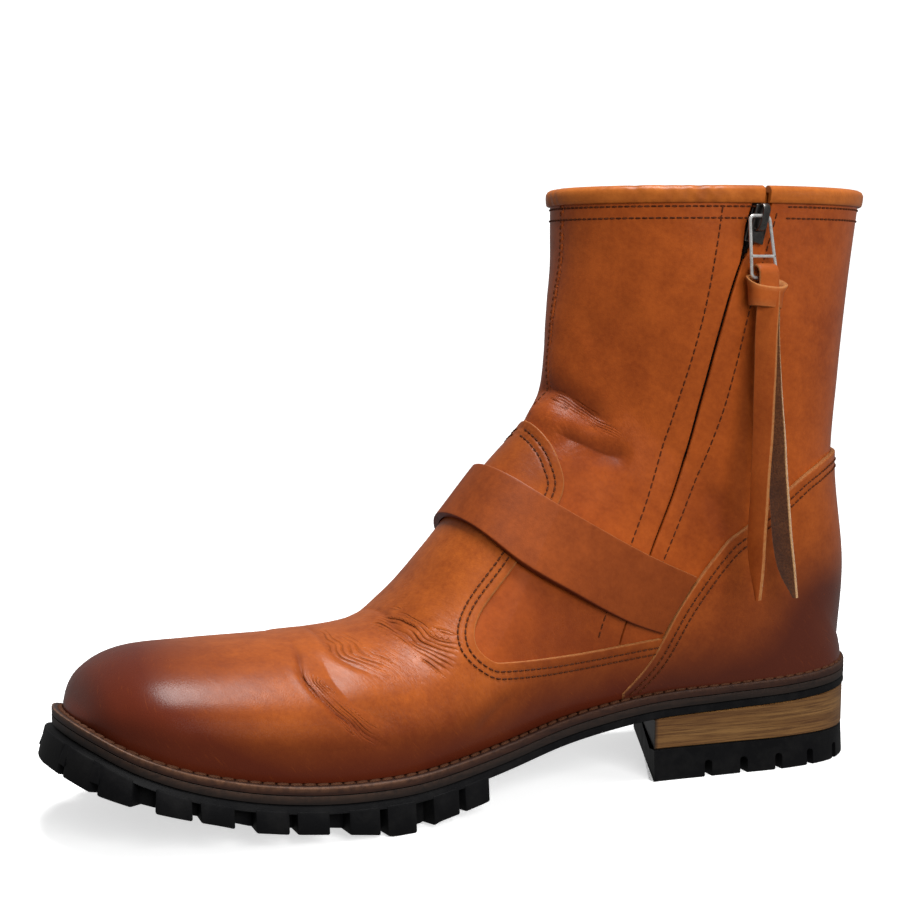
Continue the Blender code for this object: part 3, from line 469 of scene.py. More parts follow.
def maths(tree, operation, first, second=0.0, third=0.0, clamp=False):
    made = node(tree, "Math", {"operation": operation, "use_clamp": clamp})
    for socket, value in zip(made.inputs, (first, second, third)):
        put(tree, socket, value)
    return made.outputs[0]


def product(tree, first, second):
    return maths(tree, "MULTIPLY", first, second)


def blend(tree, share, first, second):
    """A mix of two colours, each a socket or three numbers."""
    made = node(tree, "Mix", {"data_type": "RGBA"})
    put(tree, made.inputs[0], share)
    for socket, colour in zip(made.inputs[6:8], (first, second)):
        put(tree, socket, colour if isinstance(colour, bpy.types.NodeSocket) else (*colour, 1.0))
    return made.outputs[2]


def span(tree, value, low, high, to_low=0.0, to_high=1.0):
    made = node(tree, "MapRange", {"clamp": True}, Value=value, From_Min=low, From_Max=high,
                To_Min=to_low, To_Max=to_high)
    return made.outputs[0]


def places(tree, stretch=(1.0, 1.0, 1.0), turn=(0.0, 0.0, 0.0)):
    """Coordinates on the piece itself, for patterns that are stretched along turned axes."""
    where = node(tree, "TexCoord").outputs["Object"]
    made = node(tree, "Mapping", {"vector_type": "TEXTURE"}, Vector=where, Rotation=turn, Scale=stretch)
    return made.outputs[0]


def noise(tree, where, scale, detail=3.0, rough=0.55, distort=0.0):
    return node(tree, "TexNoise", Vector=where, Scale=scale, Detail=detail, Roughness=rough,
                Distortion=distort).outputs[0]


def mark(tree, name):
    """A value kept on the mesh's points."""
    return node(tree, "Attribute", {"attribute_name": name}).outputs["Fac"]


def bump(tree, height, strength, distance, under=None):
    made = node(tree, "Bump", Height=height, Strength=strength, Distance=distance * MM)
    if under:
        put(tree, made.inputs["Normal"], under)
    return made.outputs[0]


def new_material(name):
    made = bpy.data.materials.new(name)
    made.use_nodes = True
    tree = made.node_tree
    return made, tree, tree.nodes["Principled BSDF"]


# Patterns of the leather's tone: scale, detail, roughness and share
LEATHER_TONE = {
    "cloud": (22, 3, 0.6, 0.40),
    "mottle": (170, 4, 0.65, 0.24),
    "streak": (60, 4, 0.7, 0.16),
    "fleck": (650, 3, 0.6, 0.20),
}
# Dark tones of burnish, also used for painted shade in creases, hollows and along the welt
BURNT_AND_SHADE = (0.100, 0.0165, 0.0065)
BURNT_HEEL_AND_SHADE = (0.080, 0.017, 0.0085)
RAW_EDGE = (0.36, 0.15, 0.05)
SUEDE_EDGE = (0.55, 0.3, 0.12)
WORN_EDGE = (0.17, 0.075, 0.036)
# Near-black painted shade for the heel breast
PAINTED_BREAST_SHADE = (0.010, 0.007, 0.006)
# Strands: scale, distortion, roughness, specular level, and strength and depth of the relief
CLOTH = (420.0, 1.0, 0.9, 0.5, 0.5, 0.3)
THREAD = (700.0, 2.0, 0.7, 0.1, 0.4, 0.15)


def leather(name, light, dark, burnt=BURNT_AND_SHADE, rough=0.34, coat=0.05):
    """Smooth tan leather: cloudy tone, burnished and darkened with painted shade where marked, with painted
    shade in creases, and with pores, wrinkles and raw cut edges.
    """
    made, tree, shader = new_material(name)
    where = places(tree)
    slanted = places(tree, (1.0, 1.0, 0.25), (0.3, 0.5, 0.0))
    pattern = {}
    tone = 0.0
    for key, (scale, detail, uneven, share) in LEATHER_TONE.items():
        pattern[key] = noise(tree, slanted if key == "streak" else where, scale, detail, uneven)
        tone = maths(tree, "MULTIPLY_ADD", pattern[key], share, tone)
    colour = blend(tree, span(tree, tone, 0.40, 0.60), light, dark)
    # Burnish and painted shade where marked, made patchy
    burn, cut = mark(tree, "burn"), mark(tree, "edge")
    patchy = maths(tree, "MULTIPLY_ADD", maths(tree, "SUBTRACT", pattern["cloud"], 0.5), 0.3, burn)
    shade = product(tree, span(tree, patchy, 0.02, 1.0), span(tree, burn, 0.0, 0.15))
    ridge = maths(tree, "PINGPONG", mark(tree, "fan_line"), 0.5)
    dip = product(tree, span(tree, ridge, 0.0, 0.25, 1.0, 0.0), mark(tree, "fan_depth"))
    # Blended to the dark tone: burnish with painted shade, painted shade in crease troughs and in the
    # valleys of the fine wrinkles
    for share in (shade, product(tree, mark(tree, "crease"), 0.9), product(tree, dip, 0.4)):
        colour = blend(tree, share, colour, burnt)
    scuff = noise(tree, places(tree, (0.9, 1.0, 0.07), (0.5, 0.9, 0.0)), 140, 3, 0.7)
    colour = blend(tree, span(tree, scuff, 0.62, 0.74, 0.0, 0.22), colour, light)
    fuzz = noise(tree, where, 900, 2)
    colour = blend(tree, product(tree, cut, span(tree, fuzz, 0.3, 0.6, 0.45, 1.0)), colour, RAW_EDGE)
    gloss = maths(tree, "MULTIPLY_ADD", pattern["mottle"], 0.18, rough - 0.09)
    gloss = maths(tree, "MULTIPLY_ADD", burn, -0.06, gloss)
    gloss = maths(tree, "MULTIPLY_ADD", cut, 0.3, gloss, clamp=True)
    pores = node(tree, "TexVoronoi", {"feature": "DISTANCE_TO_EDGE"}, Vector=where, Scale=1100.0)
    grain = bump(tree, span(tree, pores.outputs["Distance"], 0.0, 0.25), 0.1, 0.12)
    lines = noise(tree, places(tree, (0.17, 1.0, 0.6), (0.0, -0.25, 0.4)), 150, 3, 0.6, 0.6)
    folds = product(tree, lines, span(tree, mark(tree, "wrinkle"), 0.0, 1.0, 0.06, 1.0))
    valleys = product(tree, dip, -1.0)
    for height, strength, depth in ((folds, 0.3, 0.9), (pattern["mottle"], 0.12, 0.5), (valleys, 1.0, 1.0)):
        grain = bump(tree, height, strength, depth, grain)
    dress(tree, shader, Base_Color=colour, Roughness=gloss, Normal=grain, Coat_Weight=coat,
          Coat_Roughness=0.38, Specular_IOR_Level=0.17)
    return made


def suede(name, light, dark):
    made, tree, shader = new_material(name)
    where = places(tree)
    nap = noise(tree, where, 1500, 4, 0.7)
    patch = noise(tree, where, 180, 3)
    colour = blend(tree, span(tree, nap, 0.35, 0.65), dark, light)
    colour = blend(tree, span(tree, patch, 0.4, 0.7, 0.0, 0.5), colour, dark)
    rim = product(tree, mark(tree, "edge"), span(tree, nap, 0.3, 0.6, 0.3, 1.0))
    dress(tree, shader, Base_Color=blend(tree, rim, colour, SUEDE_EDGE), Roughness=0.92, Sheen_Weight=0.3,
          Normal=bump(tree, nap, 0.5, 0.5))
    return made


def sole_leather(name, light, dark):
    """Edge of stacked leather: streaks along the layers, worn paler at the rims."""
    made, tree, shader = new_material(name)
    streak = noise(tree, places(tree, (1.0, 1.0, 0.07)), 70, 5, 0.7)
    speck = noise(tree, places(tree), 500, 3)
    tone = maths(tree, "MULTIPLY_ADD", streak, 0.75, product(tree, speck, 0.25))
    colour = blend(tree, span(tree, tone, 0.38, 0.64), dark, light)
    worn = product(tree, mark(tree, "edge"), span(tree, speck, 0.3, 0.6, 0.2, 0.8))
    dress(tree, shader, Base_Color=blend(tree, worn, colour, WORN_EDGE),
          Roughness=span(tree, tone, 0.3, 0.7, 0.48, 0.66), Normal=bump(tree, tone, 0.25, 0.5))
    return made


def rubber(name, light, dark):
    made, tree, shader = new_material(name)
    where = places(tree)
    dust = noise(tree, where, 90, 5, 0.7)
    speck = noise(tree, where, 1400, 3)
    dress(tree, shader, Base_Color=blend(tree, span(tree, dust, 0.45, 0.75), dark, light),
          Roughness=span(tree, dust, 0.3, 0.7, 0.5, 0.68), Specular_IOR_Level=0.15,
          Normal=bump(tree, speck, 0.3, 0.25))
    return made


def wood(name, light, dark, fibre_tone, pore_tone):
    """Heel wood with the grain running level, painted near black where marked, as shade on the heel breast.
    """
    made, tree, shader = new_material(name)
    fibre = noise(tree, places(tree, (3.0, 3.0, 0.07)), 130, 6, 0.75, 0.2)
    band = noise(tree, places(tree, (5.0, 5.0, 0.33)), 90, 3, 0.6, 0.6)
    pore = noise(tree, places(tree, (4.0, 4.0, 0.083)), 420, 3, 0.7)
    colour = blend(tree, span(tree, band, 0.35, 0.65), light, dark)
    colour = blend(tree, span(tree, fibre, 0.44, 0.60, 0.0, 0.9), colour, fibre_tone)
    colour = blend(tree, span(tree, pore, 0.6, 0.75, 0.0, 0.6), colour, pore_tone)
    # Painted shade on the heel breast, near black
    colour = blend(tree, mark(tree, "burn"), colour, PAINTED_BREAST_SHADE)
    dress(tree, shader, Base_Color=colour, Roughness=0.5, Normal=bump(tree, fibre, 0.2, 0.4))
    return made


def metal(name, colour, rough, metallic=1.0):
    made, tree, shader = new_material(name)
    scuff = noise(tree, places(tree), 700, 4, 0.7)
    worn = [0.6 * channel for channel in colour]
    dress(tree, shader, Base_Color=blend(tree, span(tree, scuff, 0.4, 0.7), colour, worn), Metallic=metallic,
          Roughness=span(tree, scuff, 0.3, 0.7, rough - 0.06, rough + 0.12),
          Normal=bump(tree, scuff, 0.08, 0.2))
    return made


def woven(name, light, dark, strands):
    """Cloth or thread with slanted strands."""
    scale, distort, rough, specular, strength, depth = strands
    made, tree, shader = new_material(name)
    wave = node(tree, "TexWave", {"bands_direction": "DIAGONAL"}, Vector=places(tree), Scale=scale,
                Distortion=distort).outputs["Fac"]
    dress(tree, shader, Base_Color=blend(tree, wave, dark, light), Roughness=rough,
          Specular_IOR_Level=specular, Normal=bump(tree, wave, strength, depth))
    return made


FINISH = {
    "vamp": leather("vamp_leather", (0.39, 0.092, 0.013), (0.24, 0.049, 0.007)),
    "shaft": leather("shaft_leather", (0.38, 0.079, 0.012), (0.24, 0.044, 0.007)),
    "counter": leather("counter_leather", (0.35, 0.076, 0.012), (0.22, 0.042, 0.007), BURNT_HEEL_AND_SHADE),
    "strap": leather("strap_leather", (0.27, 0.057, 0.010), (0.175, 0.034, 0.006), rough=0.44),
    "binding": leather("binding_leather", (0.45, 0.125, 0.020), (0.30, 0.074, 0.011)),
    "thong": leather("thong_leather", (0.36, 0.080, 0.013), (0.25, 0.048, 0.008), rough=0.5),
    "suede": suede("thong_suede", (0.17, 0.058, 0.018), (0.060, 0.018, 0.006)),
    "insole": leather("insole_leather", (0.42, 0.25, 0.13), (0.30, 0.17, 0.085), rough=0.6, coat=0.0),
    "welt": sole_leather("welt_leather", (0.036, 0.013, 0.007), (0.017, 0.006, 0.004)),
    "midsole": sole_leather("midsole_leather", (0.020, 0.012, 0.009), (0.009, 0.006, 0.005)),
    "rubber": rubber("black_rubber", (0.010, 0.0097, 0.0097), (0.004, 0.004, 0.0045)),
    "wood": wood("heel_wood", (0.22, 0.11, 0.034), (0.15, 0.067, 0.019), (0.075, 0.029, 0.009),
                 (0.055, 0.021, 0.008)),
    "gunmetal": metal("gunmetal", (0.17, 0.16, 0.15), 0.3),
    "teeth": metal("dark_teeth", (0.035, 0.032, 0.030), 0.4),
    "steel": metal("bright_steel", (0.80, 0.79, 0.76), 0.2, 0.65),
    "tape": woven("zip_cloth", (0.035, 0.024, 0.018), (0.012, 0.009, 0.007), CLOTH),
    "thread": woven("dark_thread", (0.12, 0.034, 0.014), (0.050, 0.014, 0.006), THREAD),
    "welt_thread": woven("welt_thread", (0.10, 0.040, 0.020), (0.045, 0.016, 0.008), THREAD),
}


# Meshes

def link(made):
    bpy.context.scene.collection.objects.link(made)
    return made


def add_piece(name, points, faces, finish, slot, body="boot", marks=None, sharp=0.9):
    """A piece from points in millimetres, with values kept on its points for the material."""
    mesh = bpy.data.meshes.new(name)
    corners = (MM * np.asarray(points, float)).tolist()
    mesh.from_pydata(corners, [], [tuple(map(int, face)) for face in faces])
    mesh.validate()
    for key, values in (marks or {}).items():
        kept = mesh.attributes.new(key, "FLOAT", "POINT")
        kept.data.foreach_set("value", np.asarray(values, np.float32))
    mesh.shade_smooth()
    mesh.set_sharp_from_angle(angle=sharp)
    mesh.materials.append(FINISH[finish])
    made = link(bpy.data.objects.new(name, mesh))
    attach(made, body)
    return made


def outward(piece, weld=0.0):
    """Joins points that lie within weld of each other, and turns the faces of closed bodies outwards."""
    shape = bmesh.new()
    shape.from_mesh(piece.data)
    if weld:
        bmesh.ops.remove_doubles(shape, verts=shape.verts, dist=weld * MM)
    bmesh.ops.recalc_face_normals(shape, faces=shape.faces)
    shape.to_mesh(piece.data)
    shape.free()


def add_body(name, points, faces, finish, slot, replaces=None, weld=0.0, **settings):
    """A piece of closed bodies, in place of a node of the frame where one is named."""
    made = add_piece(name, points, faces, finish, slot, **settings)
    outward(made, weld)
    if replaces:
        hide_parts(replaces)
    return made


def gather(bodies):
    """Several bodies, each of points and faces, as one list of points and faces."""
    points = []
    faces = []
    first = 0
    for spots, sides in bodies:
        points.append(np.asarray(spots, float).reshape(-1, 3))
        faces += [tuple(first + index for index in side) for side in sides]
        first += len(points[-1])
    return np.concatenate(points), faces


def grid_sides(rows, columns, first=0, flip=False, wrap=False):
    """Faces of a grid of points, rows by columns."""
    sides = []
    for i in range(rows - 1):
        for j in range(columns if wrap else columns - 1):
            a = first + i * columns + j
            b = first + i * columns + (j + 1) % columns
            side = (a, a + columns, b + columns, b)
            sides.append(side[::-1] if flip else side)
    return sides


def tube(rings, closed=False):
    """A closed body from rings of points; its ends are filled, or joined if closed."""
    rings = np.asarray(rings, float)
    rows, columns = rings.shape[:2]
    if closed:
        rings = np.concatenate([rings, rings[:1]])
    sides = grid_sides(len(rings), columns, wrap=True)
    if not closed:
        sides += [tuple(range(columns)), tuple(range((rows - 1) * columns, rows * columns))[::-1]]
    return rings.reshape(-1, 3), sides


def slab(outside, inside):
    """A closed sheet between two grids of points."""
    rows, columns = outside.shape[:2]
    count = rows * columns
    points = np.concatenate([outside.reshape(-1, 3), inside.reshape(-1, 3)])
    sides = grid_sides(rows, columns) + grid_sides(rows, columns, count, True)
    rim = [j for j in range(columns)] + [i * columns + columns - 1 for i in range(1, rows)]
    rim += [(rows - 1) * columns + j for j in range(columns - 2, -1, -1)]
    rim += [i * columns for i in range(rows - 2, 0, -1)]
    for a, b in zip(rim, rim[1:] + rim[:1]):
        sides.append((a, b, b + count, a + count))
    return points, sides


# Panels of the upper

HALF_GIRTH = 110.0
MID_SIDE = -0.6
ROWS = np.linspace(FIRST_ROW, LAST_ROW, 1500)
LENGTH = arc_length(surface(ROWS, MID_SIDE))
STEP = 1.5
CUT_STEP = 0.7
SLOT_STEP = 0.8
FOOT_STEP = 1.0
SEAM_STEP = 1.2
NARROW = 2.0
WIGGLE = 0.8
WIGGLE_SIZE = 8.0
FAN_REACH = 25.0
FAINT = 0.04
FAN_LEAST = 0.01
CREASE_FADE = 0.25
FAN_FADE = 0.2
FAN_SOFT = 1.5
LINE_POINTS = 90
EDGE_ROUND = 0.5
SEAM_ROUND = 0.25
EDGE_RINGS = (0.12, 0.3, 0.55, 1.0, 1.7)
RAW_WIDTH = 0.45
STITCH_INSETS = (3.1, 5.6)
STITCH_DENT = 0.22
STITCH_DENT_HALF = 0.6
# The first two marks carry burnish with painted shade, and painted shade in crease troughs
MARKS = ("burn", "crease", "edge", "wrinkle", "fan_depth", "fan_line")


def to_plane(line):
    return np.column_stack([np.interp(line[:, 0], ROWS, LENGTH), line[:, 1] * HALF_GIRTH])


def from_plane(points):
    return np.column_stack([np.interp(points[:, 0], LENGTH, ROWS), points[:, 1] / HALF_GIRTH])


def even(line, step):
    """A line of u and v with its points evenly spaced on the upper."""
    run = arc_length(surface(*line.T))
    at = np.linspace(0, run[-1], max(int(np.ceil(run[-1] / step)), 1) + 1)
    return at_length(at, run, line)


def on_side(points, count=240):
    """u and v of a smooth line through side view points."""
    return np.column_stack(locate(*smooth_line(points, count).T))


def move_in(line, inset):
    """A line of u and v moved by inset, to its left in the plane of the panels."""
    u, v = line.T
    along, across = slopes(u, v)
    run = np.gradient(surface(u, v), axis=0)
    left = unit(np.cross(np.cross(along, across), run))
    aa, ab, bb = ((p * q).sum(1) for p, q in ((along, along), (along, across), (across, across)))
    la, lb = (left * along).sum(1), (left * across).sum(1)
    size = np.maximum(aa * bb - ab * ab, TINY)
    du, dv = (la * bb - lb * ab) / size, (lb * aa - la * ab) / size
    return np.column_stack([u + inset * du, v + inset * dv])


def nearest(points, line):
    """Distance from points to the nearest of a line's points, and its index."""
    tree = KDTree(len(line))
    for index, spot in enumerate(line):
        tree.insert(spot, index)
    tree.balance()
    found = [tree.find(point) for point in points]
    return np.array([row[2] for row in found]), np.array([row[1] for row in found], int)


def inside(points, loop):
    """Which points of the plane lie inside a closed loop."""
    result = np.zeros(len(points), bool)
    for (x0, y0), (x1, y1) in zip(loop, np.roll(loop, -1, axis=0)):
        if y0 == y1:
            continue
        crosses = (y0 > points[:, 1]) != (y1 > points[:, 1])
        at = x0 + (points[:, 1] - y0) * (x1 - x0) / (y1 - y0)
        result ^= crosses & (points[:, 0] < at)
    return result


def faded(share, ends):
    """One along the middle of a line, and fading to nothing over a share of it at both ends."""
    return smooth_step(0, ends, share) * smooth_step(0, ends, 1 - share)


def crease_lines():
    """Tracks of the creases on the upper, with their forward directions, depth, width and ridge."""
    tracks = []
    for line, depth, width, ridge in CREASES:
        line = smooth_line(line, LINE_POINTS)
        track = surface(*line.T)
        run = unit(np.gradient(track, axis=0))
        tracks.append((track, np.cross(run, normal(*line.T)), depth, width, ridge))
    return tracks


TRACKS = crease_lines()


def creases(spots):
    """Height of the creases at points of the upper, and how deep in a trough they lie."""
    height = np.zeros(len(spots))
    trough_shade = np.zeros(len(spots))
    for track, front, depth, width, ridge in TRACKS:
        reach = 4 * width
        close = np.all((spots > track.min(0) - reach) & (spots < track.max(0) + reach), axis=1)
        if not close.any():
            continue
        distance, index = nearest(spots[close], track)
        side = (front[index] * (spots[close] - track[index])).sum(1)
        fade = faded(index / (len(track) - 1), CREASE_FADE)
        across = np.where(side < 0, -distance, distance) / width
        dip = fade * (0.5 * np.exp(-across ** 2) + 0.5 * np.exp(-2.2 * np.abs(across)))
        swell = fade * np.exp(-((across - 2.0) / 1.3) ** 2)
        height[close] += ridge * swell - depth * dip
        # How dark the painted shade in the crease's trough is
        trough_shade[close] = np.maximum(trough_shade[close], dip * min(depth / width, 1.0))
    return height, trough_shade


def fans(spots):
    """How deep the fine wrinkles are at points of the upper, and at which line of its fan each point is."""
    depths = np.zeros(len(spots))
    lines = np.zeros(len(spots))
    for number, (first, last, count, depth) in enumerate(FANS):
        first, last = (surface(*smooth_line(line, LINE_POINTS).T) for line in (first, last))
        low, high = first.min(0) - FAN_REACH, first.max(0) + FAN_REACH
        close = np.flatnonzero(np.all((spots > low) & (spots < high), axis=1))
        if not len(close):
            continue
        near, index = nearest(spots[close], first)
        far = nearest(spots[close], last)[0]
        room = nearest(first, last)[0][index]
        share = index / (len(first) - 1)
        deep = depth * faded(share, FAN_FADE) * np.exp(-((near + far - room) / FAN_SOFT) ** 2)
        across = count * near / (near + far)
        for i in np.flatnonzero(deep > FAN_LEAST):
            across[i] += WIGGLE * perlin(Vector(spots[close[i]] / WIGGLE_SIZE))
            part = 0.6 + 1.3 * perlin(Vector((7.31 * round(across[i]), 3.7 * number, 4.2 * share[i])))
            deep[i] = max(part * deep[i] - FAINT, 0)
        stronger = deep > depths[close]
        lines[close[stronger]] = across[stronger]
        depths[close[stronger]] = deep[stronger]
    return depths, lines


# Dark patches, burnish with painted shade at the heel and painted shade in hollows of the upper: distance,
# height, half length, half height and how dark
PATCHES = (
    (280.0, 58.0, 26.0, 19.0, 0.95),
    (172.0, 112.0, 14.0, 14.0, 0.4),
    (165.0, 62.0, 28.0, 18.0, 0.5),
    (228.0, 98.0, 16.0, 16.0, 0.25),
)


# Where the darkening fades: the toe's burnish back from the toe tip, and burnish with painted shade up from
# the welt with its share
TOE_FADE = (8, 88)
LOW_FADES = ((0.7, 0, 24), (0.3, 16, 44))
# The flank of the toe is a little less dark: from this rise up, and from this distance back
TOE_FLANK = ((12, 34), (30, 60), 0.25)


def burnish(spots):
    """How dark the leather is made: burnish at the toe, burnish with painted shade at the heel and along the
    welt, and painted shade in hollows.
    """
    distance = spots[:, 0] + ORIGIN
    rise = spots[:, 2] - welt_top(distance)
    up, back, paler = TOE_FLANK
    burn = 1 - smooth_step(*TOE_FADE, distance + 0.35 * np.abs(spots[:, 1] + 5))
    burn *= 1 - paler * smooth_step(*up, rise) * smooth_step(*back, distance)
    # Burnish with painted shade, darker towards the welt
    for share, full, none in LOW_FADES:
        burn += share * (1 - smooth_step(full, none, rise))
    # Patches of painted shade, and burnish with painted shade at the heel
    for along, height, long, tall, share in PATCHES:
        burn += share * np.exp(-((distance - along) / long) ** 2 - ((spots[:, 2] - height) / tall) ** 2)
    return np.clip(burn, 0, 1)


def wrinkles(spots):
    """Where the fine wrinkles of the flexed vamp and of the ankle lie."""
    distance, height = spots[:, 0] + ORIGIN, spots[:, 2]
    ball = np.exp(-((distance - 112) / 20) ** 2) * smooth_step(24, 36, height)
    flank = 0.6 * np.exp(-((distance - 128) / 22) ** 2 - ((height - 42) / 14) ** 2)
    ankle = 0.8 * np.exp(-((distance - 188) / 20) ** 2 - ((height - 124) / 16) ** 2)
    return np.clip(0.9 * ball + flank + ankle, 0, 1)


def on_upper(points):
    """Those of some points of u and v that lie on the upper."""
    return points[(points[:, 0] > FIRST_ROW) & (points[:, 0] < LAST_ROW) & (np.abs(points[:, 1]) < 1)]


def lattice_points():
    """Points of u and v spread over the whole upper, closer together on and near the fine wrinkles."""
    wrinkle_lines = np.concatenate([track for track, _, _, width, _ in TRACKS if width < NARROW])
    sets = []
    for step, wrinkled in ((STEP, False), (STEP / 3, True)):
        lengths = np.arange(0, LENGTH[-1], step)
        rounds = np.linspace(-HALF_GIRTH, HALF_GIRTH, int(2 * HALF_GIRTH / step * 1.25))
        points = from_plane(np.stack(np.meshgrid(lengths, rounds, indexing="ij"), -1).reshape(-1, 2))
        points = on_upper(points)
        spots = surface(*points.T)
        close = (nearest(spots, wrinkle_lines)[0] < 1.2 * STEP) | (fans(spots)[0] > 0)
        sets.append(points[close == wrinkled])
    return np.concatenate(sets)


LATTICE = lattice_points()


def fill(edges, stitched):
    """Triangles inside a panel's edges, each a line of u and v and whether it is cut; finer along cuts."""
    loop = np.concatenate([line[:-1] for line, cut in edges])
    plane = to_plane(loop)
    turn = plane[:, 0] * np.roll(plane[:, 1], -1) - np.roll(plane[:, 0], -1) * plane[:, 1]
    if turn.sum() < 0:
        edges = [(line[::-1], cut) for line, cut in edges[::-1]]
        loop = np.concatenate([line[:-1] for line, cut in edges])
        plane = to_plane(loop)
    rings = EDGE_RINGS
    if stitched:
        rings = (*rings, *(inset + side for inset in stitched for side in (-0.7, 0.0, 0.7)))
    extra = [move_in(line, inset) for line, cut in edges if cut for inset in rings]
    extra = np.concatenate(extra) if extra else np.zeros((0, 2))
    extra = on_upper(extra)
    kept = []
    for points, room in ((extra, 0.1), (LATTICE, 0.25 * STEP)):
        points = points[inside(to_plane(points), plane)]
        near = np.concatenate([loop, *kept])
        kept.append(points[nearest(surface(*points.T), surface(*near.T))[0] > room])
    every = np.concatenate([plane, *(to_plane(points) for points in kept)])
    count = len(plane)
    ties = [(i, (i + 1) % count) for i in range(count)]
    made = delaunay_2d_cdt([Vector(point) for point in every], ties, [], 1, 1e-5, False)
    spots = np.array([tuple(point) for point in made[0]])
    sides = np.array(made[2], int)
    return from_plane(spots), sides[inside(spots[sides].mean(1), plane)]


def edge_drop(inset, rounding):
    """How far a rounded edge drops at an inset from it."""
    rim = 1 - np.clip(inset / rounding, 0, 1)
    return rounding * (1 - np.sqrt(1 - rim ** 2))


def panel(name, parts, low, high, finish, stitched=(), replaces=None, raw=1.0, rounding=EDGE_ROUND):
    """A leather panel cut from the upper's own surface, as a closed sheet from one offset to another."""
    points = []
    sides = []
    first = 0
    for edges in parts:
        spots, faces = fill(edges, stitched)
        points.append(spots)
        sides.append(faces + first)
        first += len(spots)
    points = np.concatenate(points)
    base = surface(*points.T)
    _, keep, index = np.unique(np.round(base, 2), axis=0, return_index=True, return_inverse=True)
    points = points[keep]
    base = base[keep]
    sides = index.reshape(-1)[np.concatenate(sides)]
    sides = sides[np.all(sides != np.roll(sides, -1, axis=1), axis=1)]
    cuts = [surface(*line.T) for edges in parts for line, is_cut in edges if is_cut]
    inset = nearest(base, np.concatenate(cuts))[0]
    height, trough_shade = creases(base)
    depths, lines = fans(base)
    valley = np.clip(1 - 4 * np.abs(lines - np.round(lines)), 0, 1)
    height -= 0.5 * depths * valley
    top = high - edge_drop(inset, rounding) + height
    for line in stitched:
        top -= STITCH_DENT * np.exp(-((inset - line) / STITCH_DENT_HALF) ** 2)
    outer = skin(*points.T, top)
    inner = skin(*points.T, low + height)
    count = len(points)
    ties = np.concatenate([sides[:, [0, 1]], sides[:, [1, 2]], sides[:, [2, 0]]])
    forward = {tuple(tie) for tie in ties}
    walls = [(b, a, a + count, b + count) for a, b in forward if (b, a) not in forward]
    faces = [tuple(side) for side in sides] + [tuple(side[::-1] + count) for side in sides] + walls
    bright = raw * np.clip(1 - inset / RAW_WIDTH, 0, 1)
    # Marks for the material: burnish with painted shade, painted shade in crease troughs, raw edges,
    # wrinkles and the fine wrinkles
    values = (burnish(base), trough_shade, bright, wrinkles(base), depths, lines)
    marks = {key: np.tile(value, 2) for key, value in zip(MARKS, values)}
    made = add_piece(name, np.concatenate([outer, inner]), faces, finish, "leather", marks=marks)
    if replaces:
        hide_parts(replaces)


def mirrored(line):
    return line * (1, -1)


def across_ridge(edges):
    """The same edges on the outer side, run the other way."""
    return [(mirrored(line[::-1]), cut) for line, cut in edges[::-1]]


def zip_distance(height):
    line = smooth_line(ZIP_LINE, 4 * FINE)[::-1]
    return np.interp(height, line[:, 1], line[:, 0])


def slot_half(height):
    rows = SLOT[::-1]
    return np.interp(height, column(rows, SLOT_COLUMNS, "height"), column(rows, SLOT_COLUMNS, "half"))


def beside_zip(side, low, high):
    """u and v along one edge of the zip's slot."""
    height = np.linspace(low, high, 260)
    return np.column_stack(locate(zip_distance(height) + side * slot_half(height), height))


def straight(start, end, count=60):
    return np.linspace(np.asarray(start, float), np.asarray(end, float), count)


def vamp_height(distance):
    """Height of the vamp's lower edge behind its bend."""
    line = smooth_line(VAMP_EDGE, 400)
    tail = line[line[:, 0].argmin():]
    tail = tail[np.concatenate([[True], np.diff(np.maximum.accumulate(tail[:, 0])) > 0])]
    return np.interp(distance, tail[:, 0], tail[:, 1])


CUT = True
HIDDEN = False
COLLAR_ROW = LAST_ROW - 0.02
COUNTER_END = (COUNTER_EDGE[0][0] + 14.5, COUNTER_EDGE[0][1] + 1.2)


def meeting(line, place):
    """Index of the point of a line that is nearest to a place."""
    return int(np.argmin(np.linalg.norm(surface(*line.T) - surface(*place), axis=1)))


def zip_foot(side):
    """Height where one edge of the zip's slot meets the vamp."""
    height = ZIP_LOW
    for _ in range(8):
        height = float(vamp_height(zip_distance(height) + side * slot_half(height)))
    return height


